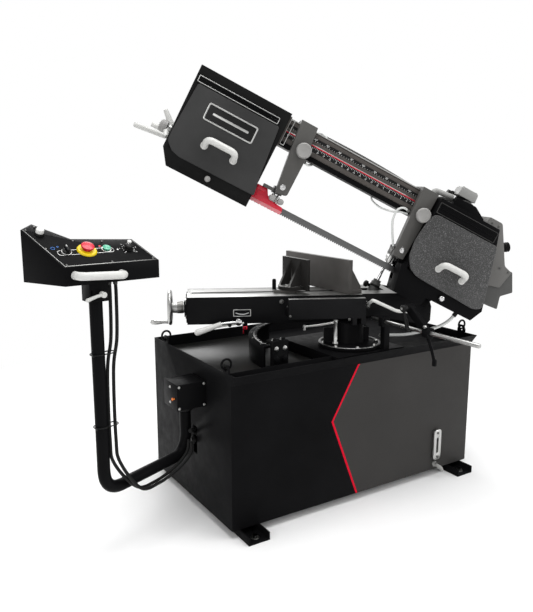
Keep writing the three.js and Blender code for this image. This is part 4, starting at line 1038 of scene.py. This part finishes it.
def drain_hose():
    """A pale hose that hangs from the drive housing and comes back to the turntable."""
    to_table = TABLE.inverted() @ BOW
    hang = [to_table @ Vector(p) for p in ((505, -12, -46), (503, -10, -64), (494, -6, -94), (474, -2, -126))]
    route = smooth_path([*hang, (313, 2, 632), (240, 4, 617), (170, 3, 615), (121, 0, 617)], 8)
    p = Part(TABLE).use("hose")
    p.tube(route, 6.5, 16)
    p.use("black_plastic").tube(route[:9], 9, 20)
    p.use("screw").tube(route[-5:], 8.6, 6)
    p.make("coolant_drain_hose", ("head", "table"), "light_grey_paint", bend=(TABLE @ hang[1],
            TABLE @ Vector((240, 4, 617))))


# ---------------------------------------------------------------- vise and turret
BED_LEFT, SCREW_V, SCREW_Z = -630, 105, 724
WHEEL_U = BED_LEFT - 68


def handwheel():
    p = Part(TABLE).use("steel")
    rim = arc(0, 0, 8.6, 0, 360, 20)[:-1]
    bm = bmesh.new()
    loops = []
    for i in range(56):
        a = 2 * math.pi * i / 56
        loops.append([bm.verts.new((WHEEL_U + h, SCREW_V + (61 + r) * math.cos(a),
                                    SCREW_Z + (61 + r) * math.sin(a)))
                      for r, h in rim])
    for low, high in zip(loops, loops[1:] + loops[:1]):
        for i in range(20):
            j = (i + 1) % 20
            bm.faces.new((low[i], low[j], high[j], high[i]))
    p.take(bm)
    p.turned("x", [(21, WHEEL_U - 8), (22, WHEEL_U - 5), (22, WHEEL_U + 8), (23, WHEEL_U + 26), (23.6,
            BED_LEFT - 14)],
             SCREW_V, SCREW_Z, 40)
    for k in range(3):
        a = 2 * math.pi * (k + 0.5) / 3 + 0.5
        c, d = math.cos(a), math.sin(a)
        spoke = [(SCREW_V + c * r - d * w, SCREW_Z + d * r + c * w)
                 for r, w in ((16, -15), (34, -8), (56, -11), (56, 11), (34, 8), (16, 15))]
        p.prism("x", rounded(spoke, 6), WHEEL_U - 4, WHEEL_U + 4, 2, 3)
    p.turned("x", [(10, WHEEL_U + 2), (10, WHEEL_U - 6), (6, WHEEL_U - 10), (4.8, WHEEL_U - 12), (4.8,
            WHEEL_U - 79)],
             SCREW_V + 6, SCREW_Z - 58, 24)
    p.use("iron").turned("x", [(24, BED_LEFT - 40), (24.4, BED_LEFT - 36), (24.4, BED_LEFT - 18),
                               (22, BED_LEFT - 13)],
                         SCREW_V, SCREW_Z, 40)
    p.make("handwheel_casting", "vise_wheel", "bright_steel", ["handwheel"])
    g = Part(TABLE).use("steel")
    x = WHEEL_U - 10
    g.turned("x", [(5.2, x - 66), (8, x - 66.5), (10.6, x - 61), (11.6, x - 52), (10.5, x - 38), (7.6,
            x - 20), (7.4, x - 8),
                   (8.6, x - 2), (8, x), (5.2, x)], SCREW_V + 6, SCREW_Z - 58, 28)
    g.make("crank_grip_turned", "crank_grip", "bright_steel", ["handwheel_grip"])


def vise():
    dress("vise_bed", "bed", 0.0025)
    dress("vise_carriage", "jaw", 0.0015)
    dress("movable_jaw", "ribbed", 0.0015)
    dress("fixed_jaw", "jaw", 0.0015)
    dress("lead_screw", "steel", 0.0006)
    dress("rest_block", "arm_top", 0.002)
    dress("swivel_arm", "arm_top", 0.0025)
    dress("turntable", "black", 0.002)
    dress("turret_base", "black", 0.002)
    dress("square_stop", "black", 0.002)
    dress("mitre_scale_arc", "black", 0.0012)

    p = Part(TABLE).use("silver")
    outer, inner = rounded(rectangle(-455, -387, 703, 731), 2), rounded(rectangle(-452, -390, 706, 728), 2)
    frame_ring(p, "y", outer, inner, -1.6, 0)
    p.use("hose").tube(smooth_path([(-446, -1.4, 718), (-432, -1.4, 713), (-414, -1.4, 712), (-396, -1.4,
            717)]), 1.6, 8)
    p.use("screw")
    for u, z in ((-20, 700), (-246, 716)):
        p.bolt("y", u, z, -80.2, 3.4, -1, False)
    p.bolt("y", -268, 758, -0.2, 6, -1)
    for v in (24, 188):
        for z in (700, 756):
            p.bolt("x", v, z, BED_LEFT, 6, -1, False)
    p.use("black")
    p.block(BED_LEFT - 4, BED_LEFT, 8, 204, 681, 770, 1.5)
    p.make("bed_fittings", "table", "black_paint")

    r = Part(TABLE).use("red")
    flag = [(2, 664), (2, 656), (6, 647), (21, 630), (36, 647), (40, 656), (40, 664)]
    r.prism("x", rounded(flag, 2), -417, -401, 0.8)
    r.use("scale").disc("y", 3.2, 3, 0.8, -409, 658, 0.4, 20)
    r.make("mitre_pointer_red", "table", "red_paint")

    j = Part(TABLE).use("steel")
    for u, v in ((-238, 78), (-186, 132)):
        j.bolt("z", u, v, 805.2, 7)
    j.disc("z", 10, 805, 823, -212, 105, 2, 32)
    j.use("black").turned("z", [(8, 792), (8, 826), (6, 832), (0, 833)], -286, 100, 20)
    j.make("carriage_bolts", "carriage", "bright_steel")


def levers():
    u, v, z = -436, -24, 686
    p = Part(TABLE).use("chrome")
    p.disc("y", 13, v - 6, -0.5, u, z, 1.5, 32)
    p.tube([(u, v, z), (u - 35, v - 3, z - 1.5), (u - 72, v - 6, z - 5)], 6.2, 18)
    p.use("white").tube(smooth_path([(u - 66, v - 6, z - 3), (u - 90, v - 8, z - 12), (u - 125, v - 10,
                                                                                       z - 24),
                                     (u - 158, v - 12, z - 34)], 6), 8, 20, 12.5)
    p.ball((u - 156, v - 12, z - 33.6), 12.2, 24)
    p.use("grip").tube([(u - 123, v, 664), (u - 70, v, 671), (u + 20, v, 683)], 4.6, 16, 3.6)
    p.use("black_plastic").disc("y", 7, v - 8, v + 3, u - 34, 676, 1, 20)
    p.make("mitre_lock_handle", "mitre_lever", "white_plastic", ["mitre_lock_lever"])

    u, v, z = 66, 19.6, 740
    q = Part(TABLE).use("grip")
    q.disc("y", 12, v - 34, v, u, z, 1.5, 28)
    out = v - 132
    route = [(u, v - 26, z), (u - 6, out, z + 38), (u + 88, out, z - 6), (u + 128, out, z - 8)]
    q.tube(bent_path(route, 14, 8), 6.2, 18)
    q.ball(route[-1], 6.2, 16)
    q.use("black_plastic").disc("y", 15, v - 34, v - 29, u, z, 1.5, 28)
    q.make("jaw_lock_handle", "jaw_lever", "bright_steel", ["jaw_lock_lever"])

    t = Part(TABLE).use("steel")
    t.tube([(-184, -34, 664), (-120, -33, 670), (-66, -32, 678)], 5, 14)
    t.tube([(-184, -34, 652), (-184, -34, 664), (-184, -34, 672)], 5.6, 14)
    t.use("steel").turned("z", [(12, 595), (12, 600), (8, 604), (8, 676), (10, 680), (10, 688), (6, 690)],
                          -62, -32, 28)
    t.make("turret_clamp_bar", "table", "bright_steel")


def turret_fittings():
    p = Part(BASE).use("steel")
    cx, cy = 35, -180
    for k in range(8):
        a = 2 * math.pi * (k + 0.5) / 8
        x, y = cx + 108 * math.cos(a), cy + 108 * math.sin(a)
        if y > -290:
            p.bolt("z", x, y, 594.2, 5.5, 1, False)
    for d in (14, 50):
        p.bolt("z", cx - 385 + d, -208, 651.6, 6, 1, False)
        p.bolt("y", cx - 385 + d, 624, -228, 6, -1)
    p.ring("z", 112, 121, 594.2, 596.2, cx, cy, 72)
    p.use("tick")
    for i in range(61):
        a = math.radians(114 + i)
        c, d = math.cos(a), math.sin(a)
        deep = 14 if i % 10 == 0 else 10 if i % 5 == 0 else 6
        w = 0.8
        mark = [(cx + c * r - d * s, cy + d * r + c * s) for r, s in ((378 - deep, -w), (378, -w), (378, w),
                                                                      (378 - deep, w))]
        p.prism("z", mark, 626, 626.5, 0)
        if i % 15 == 0:
            x, y = cx + 385.5 * c, cy + 385.5 * d
            p.text(str(60 - i), 9, (-d, c, 0), (-c, -d, 0), (x, y, 626.2))
    p.use("black").ring("z", 20, 23, 576, 640, cx, cy, 40)
    p.make("turret_scale_and_bolts", "base", "bright_steel")


def work_stop():
    dress("work_stop_bar", "steel", 0.0015)
    x, y, z = 100, -533, 690
    p = Part(BASE).use("black")
    p.ring("y", 8.6, 20, y - 14, y + 14, x, z, 40)
    p.disc("x", 15, x - 16, x + 16, y + 96, z + 74, 2, 32)
    link = [(y - 9, z + 9), (y + 10, z - 11), (y + 108, z + 64), (y + 88, z + 86)]
    p.prism("x", rounded([link[0], link[3], link[2], (y + 34, z + 8), (y + 17, z + 22)], 6), x - 9, x + 9,
            2, 3)
    p.tube([(x, y, z - 18), (x, y - 20, z - 56), (x, y - 37, z - 100)], 5.5, 16)
    p.turned("z", [(7, z - 112), (8, z - 110), (8, z - 92), (6, z - 88)], x, y - 36, 6)
    p.use("steel")
    p.disc("x", 6, x - 18.4, x - 9, y + 4, z + 2 + 20, 1, 6)
    p.disc("x", 9, x + 15, x + 19, y + 96, z + 74, 1, 24)
    p.make("work_stop_casting", "stop_slide", "black_paint", ["work_stop_arm"])

    q = Part(BASE).use("black_plastic")
    x, y, z = 83.6, -437, 764
    q.turned("x", [(12, x), (13, x - 2), (13, x - 18), (9, x - 22)], y, z, 28)
    q.tube([(x - 14, y, z), (x - 14, y - 14, z - 38), (x - 14, y - 24, z - 68)], 5, 16, 7.5)
    q.ball((x - 14, y - 26, z - 72), 9, 20)
    q.use("steel").disc("x", 5, x - 24, x - 20, y, z, 0.8, 6)
    q.make("work_stop_handle", "stop_handle", "black_plastic", ["work_stop_lever"])


# ---------------------------------------------------------------- cabinet
HALF_LONG, RIM, TRAY = 575, 586, 541


def cabinet():
    dress("cabinet", "cabinet", 0.0015)
    for end in ("front_left", "front_right", "back_left", "back_right"):
        dress(f"foot_{end}", "black", 0.0012)

    p = Part(BASE).use("tray")
    p.prism("z", rounded(rectangle(-572, -136, -278, 319), 14), TRAY + 0.3, TRAY + 1.8, 0.5)
    p.use("black")
    for x in (-572, 572):
        for y in (207, -287 if x < 0 else -268):
            ring = arc(x, RIM + 31, 18, 0, 360, 24)
            p.tube([(a, y, b) for a, b in ring], 4, 14)
    p.use("screw")
    for x in (-505, 505):
        for y in (-356, 356):
            p.turned("z", [(15, 6), (15, 8), (11, 8.4), (11, 17)], x, y, 6)
            p.ring("z", 6, 16, 6, 8.2, x, y, 32)
    for x in (-320, 60, 300):
        p.bolt("y", x, 576, 322, 5, 1)
    p.use("black")
    p.prism("y", rounded(rectangle(-300, 240, 120, 500), 12), 322, 325, 1)
    p.prism("x", rounded(rectangle(-180, 200, 120, 480), 12), 575, 578, 1)
    p.use("steel")
    for y, z in ((-160, 140), (180, 140), (-160, 460), (180, 460)):
        p.bolt("x", y, z, 578, 4.5, 1, False)
    for x, z in ((-280, 140), (220, 140), (-280, 480), (220, 480)):
        p.bolt("y", x, z, 325, 4.5, 1, False)
    p.use("pale").turned("y", [(24, 325), (25, 333), (20, 336), (0, 336)], 160, 420, 40)
    p.use("black_plastic").turned("y", [(14, 336), (15, 350), (12, 352), (0, 352)], 160, 420, 8)
    p.use("rubber")
    p.turned("z", [(22, TRAY), (24, TRAY + 4), (24, TRAY + 12), (20, TRAY + 14)], 430, 220, 32)
    p.make("cabinet_fittings", "base", "black_paint")

    g = Part(BASE).use("silver")
    front = -322
    outer, slot = rounded(rectangle(371, 411, 75, 205), 14), rounded(rectangle(385, 397, 104, 170), 4)
    frame_ring(g, "y", outer, slot, front - 13, front - 0.6)
    g.use("scale").block(384, 398, front - 6, front - 2, 102, 172, 0.2)
    g.use("screw")
    for z in (89, 191):
        g.turned("y", [(5, front - 13), (5.4, front - 14), (5.4, front - 16), (3.6, front - 17)], 391, z, 6)
    g.make("level_gauge", "base", "gauge_plastic", ["sight_gauge"])

    t = Part(BASE).use("pale")
    t.turned("y", [(11, front - 0.4), (12, front - 2), (12, front - 8), (8, front - 10)], 386, 54, 6)
    t.tube([(386, front - 6, 54), (386, front - 16, 53), (386, front - 26, 50)], 7, 20)
    t.tube(bent_path([(386, front - 24, 50), (394, front - 34, 46), (398, front - 38, 32)], 6, 5), 8.4, 20, 7)
    t.use("screw").block(378, 394, front - 20, front - 13, 60, 63, 1)
    t.make("drain_tap", "base", "light_grey_paint")


def junction():
    dress("junction_box", "black", 0.0015)
    x = -575
    p = Part(BASE).use("black")
    p.prism("y", rounded(rectangle(x - 112, x - 1, 430, 523), 3), -141.6, -139, 0.8)
    p.use("steel")
    for dx in (-104, -9):
        for z in (438, 515):
            p.bolt("y", x + dx, z, -141.6, 3.2, -1, False)
    for z in (450, 505):
        p.bolt("x", -85, z, x - 112, 3.4, -1, False)
    p.use("black_plastic")
    p.turned("z", [(31, 426), (32, 422), (32, 416), (28, 412), (21, 410.5)], -632, -84, 40)
    p.turned("x", [(8, x - 1), (15, x - 4), (15, x - 12), (10, x - 18)], -44, 272, 6)
    p.use("orange").turned("x", [(2.4, x - 112), (2.4, x - 118), (5, x - 119), (5, x - 122), (0, x - 123)],
                           -120, 470, 16)
    p.make("junction_fittings", "base", "black_paint")


# ---------------------------------------------------------------- pendant
LEADS = (-2, 17)
ARM_TOP, ARM_LOW, ARM_X, ARM_Y, ARM_END_X, ARM_END_Y = 900, 250, -632, -84, -985, -240


def pendant_arm():
    p = Part(BASE).use("black")
    corners = [(ARM_X, ARM_Y, 450), (ARM_X, ARM_Y, ARM_LOW), (ARM_END_X, ARM_END_Y, ARM_LOW), (ARM_END_X,
            ARM_END_Y, ARM_TOP)]
    path = bent_path(corners, 76, 16)
    p.tube(path, 20, 32)
    p.make("bent_arm_tube", "pendant", "black_paint", ["pendant_arm"])


def along_arm(along, out, drop):
    reach = math.hypot(ARM_X - ARM_END_X, ARM_Y - ARM_END_Y)
    dx, dy = (ARM_X - ARM_END_X) / reach, (ARM_Y - ARM_END_Y) / reach
    return (ARM_END_X + dx * along + dy * out, ARM_END_Y + dy * along - dx * out, ARM_LOW - drop)


def lead_path(out):
    down = [(56, 30, 925), (57, 30, 860), (48, 14, 740), (31, 8, 640), (29, 8, 420), (36, -2, 340)]
    path = [(ARM_END_X + x + out, ARM_END_Y + y, z) for x, y, z in down]
    path += [along_arm(110, 29 + out, 16), along_arm(200, 24 + out, 36), along_arm(290, 28 + out, 20),
             along_arm(352, 34 + out, -16), (ARM_X - 2, ARM_Y - 34 - out, ARM_LOW + 58)]
    return smooth_path(path, 14)


def leads():
    p = Part(BASE).use("rubber")
    for out in LEADS:
        p.tube(lead_path(out), 5.4, 16)
    for out in LEADS:
        x, y = ARM_END_X + 56 + out, ARM_END_Y + 30
        p.use("conduit").turned("z", [(6, 904), (7.4, 905), (7.4, 914), (6, 916)], x, y, 6)
    p.use("black_plastic")
    for z in (700, 470):
        x, y = ARM_END_X, ARM_END_Y
        loop = [(x + 24 * math.cos(a), y + 22 * math.sin(a),
                 z) for a in (math.radians(20 * k) for k in range(2, 17))]
        loop += [(x + 30, y - 14, z), (x + 52, y - 3, z), (x + 50, y + 18, z), (x + 34, y + 20, z), (x + 20,
                y + 16, z)]
        p.tube(smooth_path(loop, 3), 2, 8)
        p.block(x - 24, x - 19, y - 24, y - 18, z - 3, z + 3, 0.5)
    p.make("bound_control_leads", "pendant", "cable_rubber", ["pendant_cables"])

    wall = -HALF_LONG
    route = [(ARM_X, ARM_Y - 38, ARM_LOW + 92), (ARM_X + 24, ARM_Y - 20, ARM_LOW + 88), (wall - 12, -47,
                                                                                         ARM_LOW + 60),
             (wall + 8, -43, ARM_LOW + 40), (wall + 30, -40, ARM_LOW + 20)]
    q = Part(BASE).use("rubber")
    q.tube(smooth_path(route, 12), 7, 20)
    q.use("black_plastic")
    for k, at in ((0, 0.12), (1, 0.2)):
        a, b = Vector(route[0]), Vector(route[1])
        q.tube([a.lerp(b, at), a.lerp(b, at + 0.05), a.lerp(b, at + 0.1)], 8.4 - k * 0.6, 16)
    q.make("cable_tail_sleeve", "base", "cable_rubber", ["cable_tail"])


def control_panel():
    dress("control_box", "black", 0.002)
    p = Part(PANEL).use("black")
    inset = [(4, 4), (295, 4), (259, 110), (68, 128.6), (-19, 211), (-54, 189)]
    p.prism("z", rounded(inset, 4), -0.4, 1.0, 0.5)
    p.use("screw")
    for x, y in ((10, 10), (150, 10), (286, 10), (256, 102), (160, 112), (72, 122), (-16, 202), (-46, 188),
                 (-20, 92)):
        p.disc("z", 3, 0.8, 2.4, x, y, 0.7, 16)
    p.use("silver")
    # A thin silver rod along three edges of the panel face: a painted highlight that stands in for the light
    # caught on the panel's bevelled rim.
    edge = [inset[5], inset[0], inset[1], inset[2]]
    p.tube([Vector((x, y, 0.9)) for x, y in edge], 1.3, 8)
    frame_ring(p, "z", rounded(rectangle(5, 180, 55, 79), 11, 10), rounded(rectangle(7, 178, 57, 77), 10,
                                                                           10), 0.8, 1.8)
    p.use("yellow").turned("z", [(30, 0.9), (30, 3), (27, 6.5), (13, 6.5), (13, 1)], 95, 70, 48)
    p.use("silver")
    p.ring("z", 9.6, 15.6, 0.6, 2.4, 158, 72, 40)
    p.ring("z", 9.6, 15.6, 0.6, 3.2, 33, 70, 40)
    p.use("black_plastic").ring("z", 10, 17, 0.6, 2.2, 33, 70, 40)
    p.turned("z", [(14, 0.6), (14, 5), (12, 7), (12, 9)], -14, 163, 36)
    p.use("white").turned("z", [(11.6, 8), (11.8, 9), (11.8, 18), (10.6, 20.6), (6, 22), (0, 22.4)], -14,
                          163, 36)
    p.turned("z", [(7, 0.8), (7, 4.4), (5.6, 6), (0, 6.4)], 247, 99, 28)
    p.use("blue")
    p.ring("z", 4.6, 6.6, 0.9, 1.5, 0, 92, 24)
    p.block(12, 20, 96, 99, 0.9, 1.5, 0.2)
    p.block(14.5, 17.5, 93.5, 101.5, 0.9, 1.5, 0.2)
    p.use("red").block(140, 147, 85, 92, 0.9, 1.6, 0.3)
    p.use("tick")
    for k in range(11):
        a = math.radians(225 - 27 * k)
        c, d = math.cos(a), math.sin(a)
        mark = [(228 + c * r - d * w, 66 + d * r + c * w) for r, w in ((17, -0.7),
                                                                       (22 if k % 5 == 0 else 20, -0.7),
                                                                         (22 if k % 5 == 0 else 20,
                                                                          0.7), (17, 0.7))]
        p.prism("z", mark, 0.9, 1.5, 0)
        if k % 2 == 0:
            p.text(str(k), 6, (1, 0, 0), (0, 1, 0), (228 + 27 * c, 66 + 27 * d, 1.1), 0.6)
    wedge = [(186 + r * math.cos(a), 66 + r * math.sin(a)) for r, a in ((8, 0.5), (9, 0.2), (9, -0.2),
                                                                        (8, -0.5), (3, 0))]
    p.prism("z", wedge, 0.9, 1.5, 0)
    p.make("panel_face_and_marks", "pendant", "black_paint")

    h = Part(BOX).use("grip")
    off = -34
    path = bent_path([(30, -0.5, 950), (31, off, 950), (172, off, 943), (173, -0.5, 943)], 22, 10)
    h.tube(path, 12, 24)
    for x, z in ((30, 950), (173, 943)):
        h.disc("y", 12.5, -4, -0.2, x, z, 1.5, 32)
    h.make("box_pull_handle", "pendant", "white_plastic")

    s = Part(PANEL).use("red")
    s.turned("z", [(10.6, -13), (10.6, 13), (16, 14), (19.4, 15.6), (20, 17.6), (19, 20), (14, 21.6), (6,
            22), (0, 22)], 95, 70, 56)
    s.make("mushroom_cap", "stop_push", "red_plastic", ["stop_button"])
    g = Part(PANEL).use("green")
    g.turned("z", [(8.6, -11), (8.6, 5), (11.6, 5.2), (12.4, 6.4), (12, 8.4), (9, 9), (8, 8.4), (0, 8.2)],
             158, 72, 48)
    g.make("start_cap", "start_push", "green_plastic", ["start_button"])
    k = Part(PANEL).use("black_plastic")
    k.turned("z", [(8.6, -11), (8.6, 1), (13, 1.4), (13, 7), (12, 8), (0, 8)], 33, 70, 48)
    k.prism("x", rounded([(57.5, 7), (82.5, 7), (82, 17), (76, 19), (64, 19), (58, 17)], 2), 29.2, 36.8, 1.2)
    k.use("tick").block(32.4, 33.6, 72, 82, 18.9, 19.3, 0)
    k.make("selector_lever", "selector", "black_plastic", ["selector_knob"])
    d = Part(PANEL).use("black_plastic")
    d.turned("z", [(4.6, -11), (4.6, 1), (13.8, 1.2), (14, 4), (12.4, 5), (11.6, 15), (10.4, 16), (0, 16)],
             228, 66, 48)
    for i in range(18):
        a = 2 * math.pi * i / 18
        d.disc("z", 0.8, 5, 14.6, 228 + 12 * math.cos(a), 66 + 12 * math.sin(a), 0.2, 6)
    d.use("tick").block(227.4, 228.6, 69, 77, 15.9, 16.4, 0)
    d.make("speed_dial_cap", "speed_dial", "black_plastic", ["speed_knob"])


def clamp(at):
    tx, ty = at
    p = Part(BOX).use("grip")
    p.turned("y", [(8, ty - 47), (9, ty - 45), (9, ty - 28)], tx + 8, 886, 24)
    p.tube(smooth_path([(tx + 8, ty - 41, 886), (tx - 14, ty - 44, 884), (tx - 46, ty - 48, 876)], 6), 4,
           16, 5.6)
    p.ball((tx - 46, ty - 48, 876), 6, 20)
    p.make("clamp_handle", "clamp", "white_plastic", ["box_clamp_lever"])


# ---------------------------------------------------------------- the machine
cabinet()
junction()
turret_fittings()
vise()
handwheel()
levers()
work_stop()
beam()
blade()
wheel("idler_band_wheel", IDLER_S, "idler_pulley", "idler_wheel", False)
wheel("drive_band_wheel", DRIVE_S, "drive_pulley", "drive_wheel", True)
housings()
guide_arm("left", LEFT_ARM, -335, (-366, -329), "left_guide")
guide_arm("right", RIGHT_ARM, 170, (139, 176), "right_guide")
blade_guard()
motor()
gearbox()
drive_cover()
tension()
feed()
hoses()
drain_hose()
pendant_arm()
leads()
control_panel()
clamp((104.4, 36.2))


# ---------------------------------------------------------------- stage
def studio():
    floor_look = paint("studio_floor", (250, 250, 250), (0.7, 0.8), (80, 0.02), 0.01, 0.2)
    tree = floor_look.tree
    spread = floor_look.node("ShaderNodeVectorMath")
    spread.operation = "LENGTH"
    floor_look.link(floor_look.where, spread.inputs[0])
    fade = floor_look.spread(spread.outputs["Value"], 0.0, 1.0, 1.1, 2.6)
    glow = tree.nodes.new("ShaderNodeEmission")
    glow.inputs["Color"].default_value = (1, 1, 1, 1)
    merge = tree.nodes.new("ShaderNodeMixShader")
    floor_look.link(fade, merge.inputs["Fac"])
    floor_look.link(floor_look.shader.outputs[0], merge.inputs[1])
    floor_look.link(glow.outputs[0], merge.inputs[2])
    floor_look.link(merge.outputs[0], tree.nodes["Material Output"].inputs["Surface"])
    mesh = bpy.data.meshes.new("studio_floor")
    reach = 40
    mesh.from_pydata([(-reach, -reach, 0), (reach, -reach, 0), (reach, reach, 0), (-reach, reach, 0)], [],
                     [(0, 1, 2, 3)])
    mesh.materials.append(floor_look.material)
    floor = bpy.data.objects.new("studio_floor", mesh)
    scene.collection.objects.link(floor)

    world = bpy.data.worlds.new("studio_world")
    scene.world = world
    world.use_nodes = True
    nodes, links = world.node_tree.nodes, world.node_tree.links
    nodes.clear()
    out = nodes.new("ShaderNodeOutputWorld")
    seen = nodes.new("ShaderNodeBackground")
    seen.inputs["Color"].default_value = (1, 1, 1, 1)
    lit = nodes.new("ShaderNodeBackground")
    lit.inputs["Color"].default_value = (1, 1, 1, 1)
    lit.inputs["Strength"].default_value = 0.55
    blend = nodes.new("ShaderNodeMixShader")
    links.new(nodes.new("ShaderNodeLightPath").outputs["Is Camera Ray"], blend.inputs["Fac"])
    links.new(lit.outputs[0], blend.inputs[1])
    links.new(seen.outputs[0], blend.inputs[2])
    links.new(blend.outputs[0], out.inputs["Surface"])

    middle = Vector((0, 0, 0.8))

    def softbox(name, place, size, watts):
        light = bpy.data.lights.new(name, "AREA")
        light.shape = "SQUARE"
        light.size = size
        light.energy = watts
        lamp = bpy.data.objects.new(name, light)
        lamp.location = place
        lamp.rotation_euler = (middle - Vector(place)).to_track_quat("-Z", "Y").to_euler()
        scene.collection.objects.link(lamp)

    softbox("top_softbox", (0.2, -0.4, 4.6), 3.2, 150)
    softbox("left_softbox", (-4.2, -2.6, 2.6), 2.4, 50)
    softbox("right_softbox", (3.6, -3.6, 2.2), 2.2, 70)
    softbox("back_softbox", (0.5, 4.2, 3.2), 2.6, 80)


def camera():
    """Long side view from the front left, a little above the machine."""
    data = bpy.data.cameras.new("camera")
    data.sensor_fit = "HORIZONTAL"
    data.sensor_width = 36
    data.lens = 44.47
    data.clip_end = 100
    cam = bpy.data.objects.new("camera", data)
    cam.location = BASE @ Vector((-1573.8, -2144.3, 1212.1))
    cam.rotation_euler = (math.radians(90 - 10.71), 0, math.radians(-31.96))
    scene.collection.objects.link(cam)
    scene.camera = cam


camera()
studio()
scene.view_settings.view_transform = "Standard"
